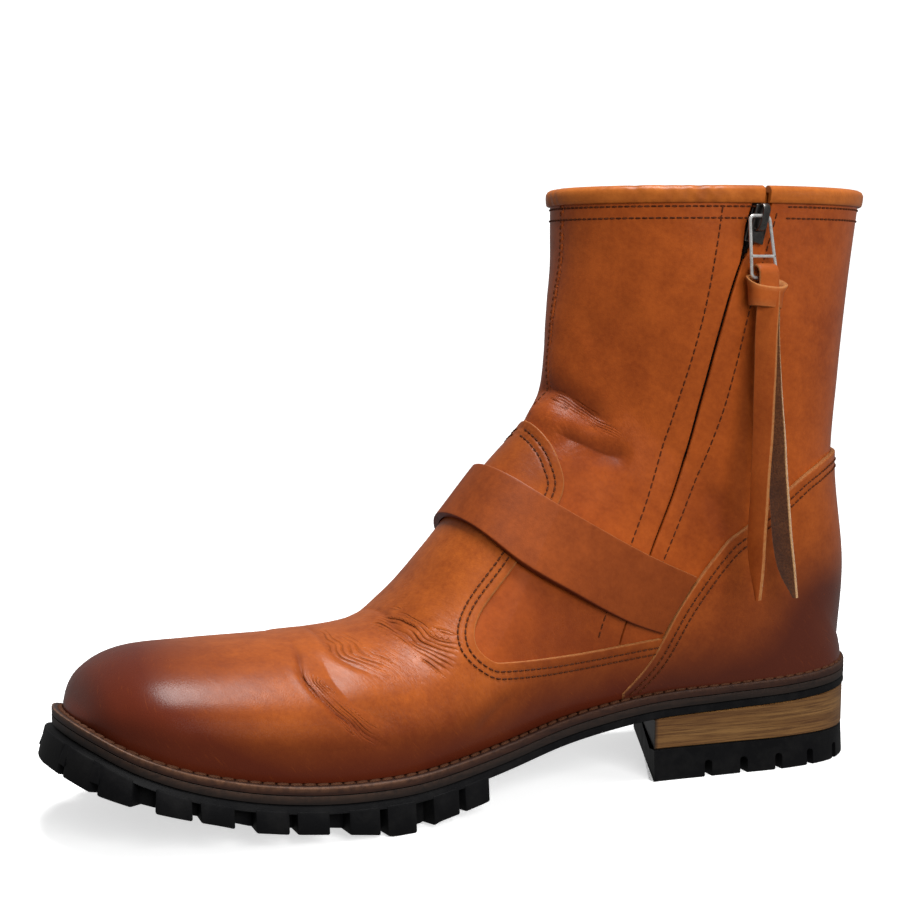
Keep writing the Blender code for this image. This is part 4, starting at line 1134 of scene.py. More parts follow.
def make_panels():
    edge_line = even(on_side(VAMP_EDGE), CUT_STEP)
    edge_line[0, 1] = 0.0
    rear = even(on_side(VAMP_REAR, 80), FOOT_STEP)
    rear[0] = edge_line[-1]
    rear[-1, 1] = -1.0
    foot_row = rear[-1, 0]
    bottom = even(straight((foot_row, -1), (FIRST_ROW, -1), 400), FOOT_STEP)
    toe = straight((FIRST_ROW, -1), (FIRST_ROW, 1), 24)
    half = [(edge_line, CUT), (rear, HIDDEN), (bottom, HIDDEN)]
    panel("vamp", [[*half, (toe, HIDDEN), *across_ridge(half)]], -WALL, VAMP_STEP, "vamp",
          stitched=STITCH_INSETS, replaces="upper")

    front, behind = (even(beside_zip(side, zip_foot(side), COLLAR - 0.2), SLOT_STEP) for side in (-1, 1))
    ahead, after = (meeting(edge_line, line[0]) for line in (front, behind))
    front[0] = edge_line[ahead]
    behind[0] = edge_line[after]
    ridge_top = (COLLAR_ROW, 0)
    top_front = even(straight(front[-1], ridge_top), SEAM_STEP)
    seam = even(straight(ridge_top, edge_line[0], 200), SEAM_STEP)
    inner = [(edge_line[:ahead + 1], HIDDEN), (front, CUT), (top_front, HIDDEN), (seam, CUT)]

    back_seam = even(straight((COLLAR_ROW, -1), (HEEL_ROW, -1), 300), SEAM_STEP)
    heel = even(straight((HEEL_ROW, -1), (foot_row, -1), 200), SEAM_STEP)
    top_behind = even(straight(behind[-1], (COLLAR_ROW, -1)), SEAM_STEP)
    back = [(behind, CUT), (top_behind, HIDDEN), (back_seam, HIDDEN), (heel, HIDDEN), (rear[::-1], HIDDEN),
            (edge_line[after:][::-1], HIDDEN)]

    top_outer = even(straight(ridge_top, (COLLAR_ROW, 1), 120), SEAM_STEP)
    outer = [(seam[::-1], CUT), (top_outer, HIDDEN)]
    outer += [(mirrored(line), HIDDEN) for line in (back_seam, heel, rear[::-1], edge_line[::-1])]
    for name, edges in (("quarter_inner", inner), ("quarter_back", back), ("quarter_outer", outer)):
        panel(name, [edges], -WALL, 0.0, "shaft", raw=0.0, rounding=SEAM_ROUND)
    return edge_line


def half_counter():
    """Edges of the counter's inner half, which meets the other half behind the heel."""
    line = even(on_side((COUNTER_END, *COUNTER_EDGE)), CUT_STEP)
    line[[0, -1], 1] = -1.0
    feather = even(straight((line[-1, 0], -1), (HEEL_ROW, -1), 300), FOOT_STEP)
    seam = even(straight((HEEL_ROW, -1), (line[0, 0], -1), 200), FOOT_STEP)
    return [(line, CUT), (feather, HIDDEN), (seam, HIDDEN)]


def make_counter():
    inner = half_counter()
    outer = [(mirrored(line), cut) for line, cut in inner]
    panel("counter", [inner, outer], 0.1, GAP + COUNTER_LEATHER, "counter", stitched=STITCH_INSETS,
          replaces="counter")


# Stitches

# Pitch, length and radius of the stitches
SEAM_STITCH = (2.35, 1.9, 0.31)
ZIP_STITCH = (2.9, 2.25, 0.29)
COLLAR_STITCH = (2.35, 1.95, 0.34)
STAY_STITCH = (2.3, 1.5, 0.28)
WELT_STITCH = (4.4, 4.1, 0.85)
STITCH_SINK = 0.35
# Rows under the collar: depth, and start and end round the collar
COLLAR_ROWS = ((5.8, -0.93, -0.508), (9.8, -0.93, -0.512), (5.8, -0.48, 0.93), (9.8, -0.44, 0.93))
FRONT_SEAM = (10.4, LAST_ROW - 0.2)
FRONT_SEAM_INSET = 1.8
# A stitch's width at places along it
CAPSULE = ((-0.5, 0.25), (-0.42, 0.75), (-0.2, 1.0), (0.2, 1.0), (0.42, 0.75), (0.5, 0.25))
AHEAD = 0.2


def stitch_row(line, offset, stitch):
    """Bodies of the stitches along a line of u and v, lying on the upper at an offset."""
    line = even(line, 0.25)
    height = offset + creases(surface(*line.T))[0] + stitch[2] * (1 - 2 * STITCH_SINK)
    return bead_row(skin(*line.T, height), normal(*line.T), stitch)


def bead_row(spots, out, stitch, sides=6, lean=0.0, flat=1.0):
    """Capsules along points, with out pointing away from what they lie on."""
    pitch, length, radius = stitch
    run = arc_length(spots)
    angles = np.linspace(0, 2 * np.pi, sides, endpoint=False)
    bodies = []
    for start in np.arange(pitch / 2, run[-1] - pitch / 2, pitch):
        rings = []
        for along, wide in CAPSULE:
            at = start + along * length
            middle = at_length(at, run, spots)
            ahead = at_length(at + AHEAD, run, spots) - middle
            across = unit(np.cross(at_length(at, run, out), ahead))
            up = unit(np.cross(ahead, across))
            middle = middle + across * lean * along * length
            spokes = [np.cos(a) * across + flat * np.sin(a) * up for a in angles]
            rings.append([middle + radius * wide * spoke for spoke in spokes])
        bodies.append(tube(rings))
    return bodies


def unbroken(line):
    """The longest run of a line's points that lies on the inner side, clear of the ridge and the bottom."""
    keep = (line[:, 1] > -0.995) & (line[:, 1] < -0.005)
    turns = np.flatnonzero(np.diff(np.concatenate([[0], keep, [0]])))
    starts, ends = turns[::2], turns[1::2]
    longest = np.argmax(ends - starts)
    return line[starts[longest]:ends[longest]]


def collar_slope(v, step=0.02):
    """Millimetres to a row of the sections, just under the collar."""
    return np.linalg.norm(surface(LAST_ROW, v) - surface(LAST_ROW - step, v), axis=-1) / step


def make_stitches(edge_line):
    rows = []
    counter = half_counter()[0][0][2:-2]
    for inset in STITCH_INSETS:
        for cut, offset in ((edge_line[:1:-1], VAMP_STEP), (counter, GAP + COUNTER_LEATHER)):
            line = unbroken(move_in(cut, inset))
            for part in (line, mirrored(line)):
                rows += stitch_row(part, offset, SEAM_STITCH)
    add_body("seam_stitches", *gather(rows), "thread", "leather")
    rows = []
    for line in (ZIP_STITCH_FRONT, ZIP_STITCH_BEHIND):
        rows += stitch_row(on_side(line), 0.0, ZIP_STITCH)
    for depth, start, end in COLLAR_ROWS:
        v = np.linspace(start, end, 300)
        rows += stitch_row(np.column_stack([LAST_ROW - depth / collar_slope(v), v]), 0.0, COLLAR_STITCH)
    u = np.linspace(*FRONT_SEAM, 200)
    v = FRONT_SEAM_INSET / np.linalg.norm(slopes(u, np.full(200, 0.02))[1], axis=1)
    rows += stitch_row(np.column_stack([u, v]), 0.0, STAY_STITCH)
    add_body("shaft_stitches", *gather(rows), "thread", "leather")


# Collar binding, back stay and strap

BINDING_OPEN = 1.1
BINDING_OUT = GAP + 1.1
BINDING_IN = -WALL - BINDING_OUT
BINDING_LOW = BINDING_DEPTH - 0.35
# Section of the binding: depth below the collar and offset from the leather's outside
BINDING = (
    (BINDING_LOW, -0.2),
    (BINDING_DEPTH, 0.25),
    (BINDING_DEPTH, BINDING_OUT - 0.5),
    (BINDING_LOW, BINDING_OUT - 0.05),
    (3.2, BINDING_OUT + 0.15),
    (1.6, BINDING_OUT + 0.2),
    (0.3, BINDING_OUT + 0.1),
    (-0.7, BINDING_OUT - 0.5),
    (-1.3, -0.2),
    (-1.5, -WALL / 2),
    (-1.3, -WALL + 0.2),
    (-0.7, BINDING_IN + 0.5),
    (0.3, BINDING_IN - 0.1),
    (2.4, BINDING_IN),
    (BINDING_DEPTH, BINDING_IN + 0.2),
    (BINDING_DEPTH, -WALL - 0.2),
    (1.0, -WALL - 0.1),
    (1.0, -0.1),
)
BINDING_POINTS = (420, 120)
STAY_LEATHER = GAP + 1.0
STAY_REACH = 0.1
STAY_STITCH_INSET = 2.2
STAY_SHARES = (0, 0.25, 0.5, 0.75, 0.88, 0.95, 0.985, 1)
STRAP_ROWS = 90
STRAP_WIDTH = 24


def plain_marks(count, **given):
    marks = {key: np.zeros(count) for key in MARKS}
    for key, values in given.items():
        marks[key] = np.broadcast_to(np.asarray(values, float), (count,))
    return marks


def make_binding():
    """A band folded over the collar, a little wrinkled, open at the zip."""
    middle = zip_distance(COLLAR)
    start, end = (float(locate(middle + side * BINDING_OPEN, COLLAR - 1)[1]) for side in (-1, 1))
    many, few = BINDING_POINTS
    v = np.concatenate([np.linspace(start, 1, many), np.linspace(-1, end, few)[1:]])
    steep = collar_slope(v)
    rng = np.random.default_rng(4)
    folds = np.zeros(len(v))
    for place in np.concatenate([rng.uniform(-0.46, 0.95, 34), rng.uniform(-0.40, -0.27, 8)]):
        folds += rng.uniform(0.08, 0.28) * np.exp(-((v - place) / rng.uniform(0.004, 0.012)) ** 2)
    rings = []
    for depth, offset in BINDING:
        shown = 1.0 if offset > 0.3 or depth < 0 else 0.0
        lean = np.interp(v + 0.004 * depth, v[:many], folds[:many])
        ring = skin(LAST_ROW - max(depth, 0) / steep, v, offset - shown * lean)
        if depth <= 0:
            ring[:, 2] = COLLAR - depth - 0.4 * shown * lean
        rings.append(ring)
    points, sides = tube(np.stack(rings, 1))
    # Painted shade in the folds of the binding
    crease = np.repeat(np.clip(0.8 * folds, 0, 1), len(BINDING))
    add_body("collar_binding", points, sides, "binding", "leather_edge", replaces="collar_binding",
             marks=plain_marks(len(points), crease=crease, wrinkle=0.3))


def round_back(turn):
    """Places round the sections, for turns to either side of the back seam."""
    return np.where(turn <= 0, 1 + turn, -1 + turn)


def make_back_stay():
    back = np.linspace(HEEL_ROW, LAST_ROW, 400)
    ends = (COUNTER_EDGE[0][1] - 2.0, COLLAR - BINDING_DEPTH + 1.0)
    rows = np.linspace(*np.interp(ends, surface(back, 1.0)[:, 2], back), 90)
    width = np.abs(surface(rows, 1 - STAY_REACH)[:, 1] - surface(rows, 1.0)[:, 1])
    share = np.array([-part for part in STAY_SHARES[:0:-1]] + list(STAY_SHARES))
    u, turn = np.meshgrid(rows, share, indexing="ij")
    v = round_back(turn * (STAY_REACH * STAY_WIDTH / 2 / width)[:, None])
    inset = STAY_WIDTH / 2 * (1 - np.abs(share))
    points, sides = slab(skin(u, v, STAY_LEATHER - edge_drop(inset, EDGE_ROUND)), skin(u, v, 0.1))
    bright = np.tile(np.clip(1 - inset / 0.4, 0, 1), 2 * len(rows))
    add_body("back_stay", points, sides, "shaft", "leather", replaces="back_stay",
             marks=plain_marks(len(points), edge=bright))
    stitches = []
    for side in (-1, 1):
        v = round_back(side * STAY_REACH * (STAY_WIDTH / 2 - STAY_STITCH_INSET) / width)
        stitches += stitch_row(np.column_stack([rows, v]), STAY_LEATHER, STAY_STITCH)
    add_body("back_stay_stitches", *gather(stitches), "thread", "leather")


def make_strap():
    """The band over the instep; both ends run under the counter."""
    at = (1 - (1 - np.linspace(0, 1, STRAP_ROWS)) ** 1.6) * (len(STRAP) - 1)
    row = {name: spline(column(STRAP, STRAP_COLUMNS, name), at)[:, None] for name in STRAP_COLUMNS}
    insets = np.array((0, 0.1, 0.3, 0.6, 1.2, 2.4)) / STRAP_WIDTH
    across = np.concatenate([insets, np.linspace(0.15, 0.85, 15), 1 - insets[::-1]])
    distance = row["bottom"] + (row["top"] - row["bottom"]) * across
    height = row["bottom_height"] + (row["top_height"] - row["bottom_height"]) * across
    u, v = locate(distance, height)
    v[-1] = 0
    lift, thick = (np.broadcast_to(row[name], u.shape) for name in ("lift", "leather"))
    inner_half = ((u, 1), (v, -1), (lift, 1), (thick, 1))
    u, v, lift, thick = (np.concatenate([near, sign * near[-2::-1]]) for near, sign in inner_half)
    drop = edge_drop(STRAP_WIDTH * np.minimum(across, 1 - across), EDGE_ROUND)
    points, sides = slab(skin(u, v, lift + thick - drop), skin(u, v, lift + 0.2 * drop))
    bright = np.tile(np.clip(1 - STRAP_WIDTH * (1 - across) / 0.3, 0, 1), 2 * len(u))
    # Darker along the strap's lower edge and towards its ends
    darkening = 0.8 * np.clip(1 - STRAP_WIDTH * across / 0.5, 0, 1) + 0.3 * smooth_step(0.25, 0.6, np.abs(v))
    marks = plain_marks(len(points), edge=bright, burn=np.tile(np.clip(darkening, 0, 1).ravel(), 2))
    add_body("strap", points, sides, "strap", "leather", replaces="strap", marks=marks)


# Zip

ZIP_LOW = 50.0
CHAIN_TOP = 189.0
CHAIN_OFFSET = -1.6
TAPE_HALF = 10.0
TAPE_TOP = 1.9
TAPE = 0.9
TOOTH_PITCH = 1.05
# A tooth of the zip: reach to its side, half length and half height
TOOTH = ((-0.5, 0.30, 0.35), (-0.2, 0.42, 0.6), (0.9, 0.42, 0.6), (1.1, 0.34, 0.45))
CORNERS = ((-1, -1), (1, -1), (1, 1), (-1, 1))
PLATE = 1.1
POST = (2.6, SLIDER_SIZE[1] - 1.0, 3.0)
POST_RISE = 4.6
BRIDGE = (2.6, 0.9)
BRIDGE_REACH = (4.6, 3.4)
PULL_ROUND = 1.8


def make_zip():
    face = -WALL - 2.5 * GAP
    height = np.linspace(ZIP_LOW - 3, COLLAR - 0.6, 110)
    share = np.concatenate([np.linspace(-1, -0.04, 9), np.linspace(0.04, 1, 9)])
    half = np.where(height < COLLAR - BINDING_DEPTH - GAP, TAPE_HALF, TAPE_TOP)
    distance = zip_distance(height)[:, None] + half[:, None] * share
    u, v = locate(distance, np.broadcast_to(height[:, None], distance.shape))
    points, sides = slab(skin(u, v, face), skin(u, v, face - TAPE))
    add_body("zip_tape", points, sides, "tape", "zip_cloth", replaces="zip_tape")
    height = np.linspace(ZIP_LOW + 3, CHAIN_TOP, 400)
    u, v = locate(zip_distance(height), height)
    spots = skin(u, v, CHAIN_OFFSET)
    out = normal(u, v)
    run = arc_length(spots)
    bodies = []
    for index, place in enumerate(np.arange(0.6, run[-1], TOOTH_PITCH)):
        middle, up = (at_length(place, run, item) for item in (spots, out))
        ahead = unit(at_length(place + AHEAD, run, spots) - middle)
        aside = np.cross(up, ahead) * (1 if index % 2 else -1)
        rings = []
        for reach, long, tall in TOOTH:
            rings.append([middle + aside * reach + ahead * a * long + up * b * tall for a, b in CORNERS])
        bodies.append(tube(rings))
    add_body("zip_chain", *gather(bodies), "teeth", "gunmetal", replaces="zip_chain")


def points_and_sides(shape):
    """Points and faces of a shape, which is freed."""
    shape.verts.index_update()
    points = np.array([tuple(corner.co) for corner in shape.verts])
    sides = [tuple(corner.index for corner in side.verts) for side in shape.faces]
    shape.free()
    return points, sides


def rounded_block(centre, size, bevel, turn=0.0):
    """Points and faces of a box with rounded edges, turned about Y."""
    shape = bmesh.new()
    bmesh.ops.create_cube(shape, size=1, matrix=Matrix.Diagonal((*size, 1)))
    bmesh.ops.bevel(shape, geom=list(shape.edges), offset=bevel, segments=3, profile=0.5, affect="EDGES")
    shape.transform(Matrix.Translation(centre) @ Matrix.Rotation(turn, 4, "Y"))
    return points_and_sides(shape)


def squared(wave, power):
    """A wave made squarer by a power below one."""
    return np.sign(wave) * np.abs(wave) ** power


def ring_angles(count):
    return np.linspace(0, 2 * np.pi, count, endpoint=False)


def swept(path, width, thick, sides=8):
    """Rings of a flat strip with round edges along a path of points, its width along X."""
    path = np.asarray(path, float)
    run = unit(np.gradient(path, axis=0))
    up = unit(np.cross(run, (1.0, 0.0, 0.0)))
    across = np.cross(up, run)
    angles = ring_angles(sides) + np.pi / sides
    aside = width / 2 * squared(np.cos(angles), 0.35)
    above = thick / 2 * squared(np.sin(angles), 0.6)
    return path[:, None] + aside[:, None] * across[:, None] + above[:, None] * up[:, None]


def make_slider():
    x, y, z = SLIDER
    wide, deep, tall = SLIDER_SIZE
    lean = np.array((np.sin(SLIDER_LEAN), 0.0, np.cos(SLIDER_LEAN)))
    bodies = []
    for side in (-1, 1):
        centre = (x, y + side * (deep - PLATE) / 2, z)
        bodies.append(rounded_block(centre, (wide, PLATE, tall), 0.5, SLIDER_LEAN))
    bodies.append(rounded_block(np.array(SLIDER) + POST_RISE * lean, POST, 0.4, SLIDER_LEAN))
    middle = np.array((x, y - deep / 2 + 0.4, PULL_TOP - 0.6))
    along, out = BRIDGE_REACH
    path = []
    for a in np.linspace(0, np.pi, 17):
        path.append(middle + along * np.cos(a) * lean - (0, out * np.sin(a) ** 0.45, 0))
    bodies.append(tube(swept(path, *BRIDGE)))
    add_body("zip_slider", *gather(bodies), "gunmetal", "gunmetal", replaces="zip_slider", sharp=0.6)


def round_wire(path, radius, closed):
    """A round wire along points of a plane across Y."""
    path = np.asarray(path, float)
    run = np.roll(path, -1, axis=0) - np.roll(path, 1, axis=0) if closed else np.gradient(path, axis=0)
    out = np.array((0.0, 1.0, 0.0))
    across = np.cross(unit(run), out)
    angles = ring_angles(10)[:, None]
    return tube(path[:, None] + radius * (np.cos(angles) * across[:, None] + np.sin(angles) * out), closed)


def rounded_path(corners, radius, count=6):
    """A closed path through corners, each rounded."""
    path = []
    corners = np.asarray(corners, float)
    for before, here, after in zip(np.roll(corners, 1, axis=0), corners, np.roll(corners, -1, axis=0)):
        start, end = (here + radius * unit(other - here) for other in (before, after))
        for t in np.linspace(0, 1, count):
            path.append((1 - t) ** 2 * start + 2 * t * (1 - t) * here + t * t * end)
    return path


def make_pull():
    ends = []
    for height, middle, half in PULL:
        ends.append([(SLIDER[0] + middle + side * half, PULL_Y, height) for side in (-1, 1)])
    top, bar, bottom = ends
    loop = rounded_path((top[0], bottom[0], bottom[1], top[1]), PULL_ROUND)
    bodies = [round_wire(loop, THIN_WIRE, True), round_wire(np.linspace(*bar, 6), THIN_WIRE, False)]
    add_body("zip_pull", *gather(bodies), "steel", "steel", replaces="zip_pull", body="pull")


def make_tail(name, table, front, behind):
    """One hanging end of the thong: a cut strip that curls a little, with another finish behind."""
    at = np.linspace(0, len(table) - 1, 110)
    row = {key: spline(column(table, TAIL_COLUMNS, key), at) for key in TAIL_COLUMNS}
    wave = 0.2 * np.sin(row["height"] / 9.0) + 0.1 * np.sin(row["height"] / 3.7)
    middle = np.column_stack([SLIDER[0] + row["x"] + wave, PULL_Y + row["y"] + 0.5 * wave, row["height"]])
    along = np.column_stack([np.cos(row["turn"]), np.sin(row["turn"]), 0 * at])
    thick = np.column_stack([-np.sin(row["turn"]), np.cos(row["turn"]), 0 * at])[:, None]
    share = np.array((-1, -0.97, -0.9, -0.7, -0.35, 0, 0.35, 0.7, 0.9, 0.97, 1))
    spots = middle[:, None] + (row["half"][:, None, None] * along[:, None]) * share[:, None]
    spots = spots + thick * (0.25 * share ** 2)[:, None]
    push = thick * (THONG / 2 * np.where(np.abs(share) > 0.99, 0.8, 1.0))[:, None]
    points, sides = slab(spots - push, spots + push)
    bright = np.tile(np.clip((np.abs(share) - 0.95) / 0.05, 0, 1), 2 * len(at))
    made = add_body(name, points, sides, front, "leather", body="pull",
                    marks=plain_marks(len(points), edge=bright))
    made.data.materials.append(FINISH[behind])
    count = (len(at) - 1) * (len(share) - 1)
    for side in made.data.polygons[count:2 * count]:
        side.material_index = 1


KNOT_LIP = 4.4
KNOT_COLUMNS = ("height", "wide", "deep", "pale")
KNOT = (
    (-4.0, 5.2, 3.1, 1.0),
    (-4.4, 5.6, 3.5, 1.0),
    (-4.2, 6.0, 3.9, 0.3),
    (-1.5, 6.2, 4.1, 0.0),
    (1.5, 6.4, 4.1, 0.0),
    (3.8, 7.0, 4.2, 0.3),
    (KNOT_LIP, 7.1, 4.0, 1.0),
    (4.5, 6.7, 3.6, 1.0),
    (4.2, 6.0, 3.1, 1.0),
    (2.0, 5.4, 2.8, 0.0),
    (-2.0, 5.2, 2.8, 0.0),
)


LOOP_SIDES = 16


def make_thong():
    """The thong's loop over the pull, the band of its knot and its two tails."""
    _, middle, half = PULL[-1]
    x = SLIDER[0] + middle
    radius = LOOP_RADIUS + THONG / 2
    down = np.linspace(KNOT_PLACE[2] - 3, LOOP_HEIGHT - 0.4, 8)
    path = [(x, PULL_Y - radius, z) for z in down]
    for a in np.linspace(np.pi, 0, 25):
        path.append((x, PULL_Y + radius * np.cos(a), LOOP_HEIGHT + radius * np.sin(a)))
    path += [(x, PULL_Y + radius, z) for z in down[::-1]]
    points, sides = tube(swept(path, 2 * (half - WIRE - LOOP_ROOM), THONG, LOOP_SIDES))
    across = np.tile(np.abs(np.cos(ring_angles(LOOP_SIDES) + np.pi / LOOP_SIDES)), len(path))
    add_body("thong_loop", points, sides, "thong", "leather", replaces="pull_thong", body="pull",
             marks=plain_marks(len(points), edge=smooth_step(0.9, 0.99, across)))
    angles = ring_angles(72)
    round_x = squared(np.cos(angles), 0.8)
    round_y = squared(np.sin(angles), 0.8)
    place = np.array((SLIDER[0], PULL_Y, 0.0)) + KNOT_PLACE
    band = []
    for height, wide, deep, _ in KNOT:
        flare = 1 + 0.05 * max(height, 0) * (np.cos(angles) > 0) * np.cos(angles) ** 2
        nod = 0.5 * max(height, 0) / KNOT_LIP * deep * round_y
        tilt = nod - 0.10 * wide * round_x
        band.append(np.column_stack([wide * flare * round_x, deep * round_y, height + tilt]) + place)
    points, sides = tube(band, closed=True)
    pale = column(KNOT, KNOT_COLUMNS, "pale")
    rim = np.repeat([*pale, pale[0]], len(angles))
    add_body("thong_knot", points, sides, "thong", "leather", body="pull",
             marks=plain_marks(len(points), edge=rim))
    make_tail("thong_front_tail", FRONT_TAIL, "thong", "suede")
    make_tail("thong_back_tail", BACK_TAIL, "suede", "thong")


# Sole

MIDSOLE_TOP = WELT + GAP
RUBBER_TOP = MIDSOLE_TOP + MIDSOLE + GAP
RUBBER_BOTTOM = RUBBER_TOP + RUBBER
SEAT = FEATHER + WALL + 0.8
LUG_START = 14.0
LUG_PITCH = 15.1
LUG_COUNT = 11
LUG_DEPTH = 20.0
LUG_PROUD = 0.25
LUG_ROOT = 1.0
RUBBER_FLARE = 0.45
WIDE_GAP = 6.5
NARROW_GAP = 2.4
STUDS = (42.0, 64.0, 85.0, 106.5, 128.5)
STUD_SIZE = (11.0, 38.0)
NOTCH_START = 21.5
NOTCH_PITCH = 14.2
NOTCH_SIZE = (3.0, 18.0, 12.0)
WEBS = ((0.45, 3.6), (6.0, 0.8))
WELD = 0.002
# Edges of the layers, from the top down: inset, depth below the welt's top and how worn
WELT_EDGE = ((SEAT, 0.0, 0), (1.1, 0.0, 0), (0.5, 0.08, 0.7), (0.12, 0.35, 1.0), (0.0, 0.8, 0.5),
             (0.0, WELT - 0.5, 0), (0.06, WELT, 0), (SEAT, WELT, 0))
MIDSOLE_LOW = MIDSOLE_TOP + MIDSOLE
MIDSOLE_EDGE = ((8.0, MIDSOLE_TOP, 0), (0.1, MIDSOLE_TOP, 0), (0.0, MIDSOLE_TOP + 0.15, 0.2),
                (0.0, MIDSOLE_LOW - 0.5, 0), (0.1, MIDSOLE_LOW, 0), (8.0, MIDSOLE_LOW, 0))
INSOLE_EDGE = ((SEAT + 8.0, -1.2, 0), (SEAT + 2.5, -1.2, 0), (SEAT + GAP, GAP, 0), (SEAT + GAP, WELT, 0),
               (SEAT + 8.0, WELT, 0))
RUBBER_EDGE = -RUBBER_FLARE * FLARE
OUTSOLE_EDGE = ((6.0, RUBBER_TOP, 0), (0.5, RUBBER_TOP, 0), (0.2, RUBBER_TOP + 0.25, 0),
                (RUBBER_EDGE, RUBBER_BOTTOM - 0.2, 0), (RUBBER_EDGE + 0.3, RUBBER_BOTTOM, 0),
                (6.0, RUBBER_BOTTOM, 0))
BLOCK_TOP = RUBBER_BOTTOM + GAP
BLOCK_EDGE = ((4.0, BLOCK_TOP, 0), (0.8, BLOCK_TOP, 0), (0.5, BLOCK_TOP + 0.3, 0))
# Edges with level rows: inset and height
BLOCK_FOOT = ((0.7, LIFT + GAP + 0.3), (1.0, LIFT + GAP), (4.0, LIFT + GAP))
LIFT_EDGE = ((4.0, LIFT), (1.2, LIFT), (0.8, LIFT - 0.4), (0.3, 0.5), (0.8, 0.0), (4.0, 0.0))
HEEL_POINTS = 90


def outline_loop(inset, start=None, count=180):
    """A closed loop of distance and y round the sole, or round its heel from a slanted breast back."""
    tips = edge(1, inset)[0][[0, -1]]
    if start is None:
        share = (1 - np.cos(np.linspace(0, np.pi, count))) / 2
        distance = tips[0] + share * (tips[1] - tips[0])
    else:
        share = np.sin(np.linspace(0, np.pi / 2, count))
        distance = start + share * (tips[1] - start)
    slant = 0 if start is None else BREAST_SLANT * (1 - share)
    inner, outer = (edge_y(along, side, inset) for along, side in ((distance, -1), (distance + slant, 1)))
    middle = (inner + outer) / 2
    inner[-1] = outer[-1] = middle[-1]
    if start is None:
        inner[0] = outer[0] = middle[0]
    there = np.column_stack([distance, inner])
    back = np.column_stack([distance + slant, outer])[::-1]
    return np.concatenate([there, back])


def layer(name, levels, finish, slot, replaces, start=None, ring=False, count=180):
    """A layer of the sole; levels run down its edge: an inset, a height and how worn it is there."""
    loops = []
    for inset, height, _ in levels:
        loop = outline_loop(inset, start, count)
        loops.append(np.column_stack([loop[:, 0] - ORIGIN, loop[:, 1], height(loop[:, 0])]))
    length = 2 * count
    faces = []
    for a in range(len(levels) if ring else len(levels) - 1):
        b = (a + 1) % len(levels)
        for i in range(length):
            j = (i + 1) % length
            faces.append((a * length + i, a * length + j, b * length + j, b * length + i))
    if not ring:
        for first in (0, (len(levels) - 1) * length):
            for i in range(count - 1):
                a, b = first + i, first + length - 1 - i
                faces.append((a, a + 1, b - 1, b))
    points = np.concatenate(loops)
    cleaner = 1 - 0.8 * smooth_step(60, 160, points[:, 0] + ORIGIN)
    worn = np.repeat([row[2] for row in levels], length) * cleaner
    # The breast face of a heel layer is marked for painted shade
    darkening = np.zeros(length)
    darkening[[0, -1]] = 0 if start is None else 1
    marks = plain_marks(len(points), edge=worn, burn=np.tile(darkening, len(levels)))
    return add_body(name, points, faces, finish, slot, replaces, WELD, marks=marks, sharp=0.7)


def under_welt(rows):
    """Levels of a layer that follow the welt."""
    return [(inset, lambda distance, depth=depth: welt_top(distance) - depth, worn)
            for inset, depth, worn in rows]


def level(rows):
    """Levels of a layer that lie flat."""
    return [(inset, lambda distance, height=height: np.full(np.shape(distance), float(height)), 0)
            for inset, height in rows]


def lug_spans():
    """Start and end of each lug, as length from the toe tip along an edge, and half the toe lug's length."""
    gaps = [NARROW_GAP if k < 2 or k % 2 else WIDE_GAP for k in range(LUG_COUNT)]
    centres = [LUG_START + LUG_PITCH * k for k in range(LUG_COUNT)]
    spans = []
    for k in range(LUG_COUNT - 1):
        spans.append((centres[k] + gaps[k] / 2, centres[k + 1] - gaps[k + 1] / 2))
    return spans, centres[0] - gaps[0] / 2


def edge_at(arc, inset):
    """Distance and y at an arc length from the toe tip, plus on the outer edge and minus on the inner."""
    side = 1 if arc >= 0 else -1
    run, y = edge(side, 0.0)
    length = arc_length(np.column_stack([run, y]))
    return at_length(abs(arc), length, np.column_stack(edge(side, inset)))


def bevelled(points, sides, width):
    """A body with its sharp edges rounded."""
    shape = bmesh.new()
    corners = [shape.verts.new(point) for point in points]
    for side in sides:
        shape.faces.new([corners[index] for index in side])
    bmesh.ops.recalc_face_normals(shape, faces=shape.faces)
    sharp = [tie for tie in shape.edges if tie.calc_face_angle(0.0) > 0.6]
    bmesh.ops.bevel(shape, geom=sharp, offset=width, segments=2, profile=0.5, affect="EDGES")
    return points_and_sides(shape)


def lug_body(arcs, back=0.0, lift=0.0):
    """One lug of the edge: it carries on the flare of the rubber and reaches in under the sole.

    A web between lugs is set back and ends above the floor.
    """
    proud = back - LUG_PROUD
    sheets = []
    for high, low in ((RUBBER_EDGE + proud, proud - FLARE), (LUG_DEPTH, LUG_DEPTH)):
        sheet = []
        for arc in arcs:
            distance, y = edge_at(arc, high)
            foot, foot_y = edge_at(arc, low)
            top = (distance - ORIGIN, y, welt_top(distance) - RUBBER_BOTTOM + LUG_ROOT)
            sheet.append([top, (foot - ORIGIN, foot_y, floor_height(foot) + lift)])
        sheets.append(np.array(sheet))
    return bevelled(*slab(*sheets), 0.1 if lift else 0.7)


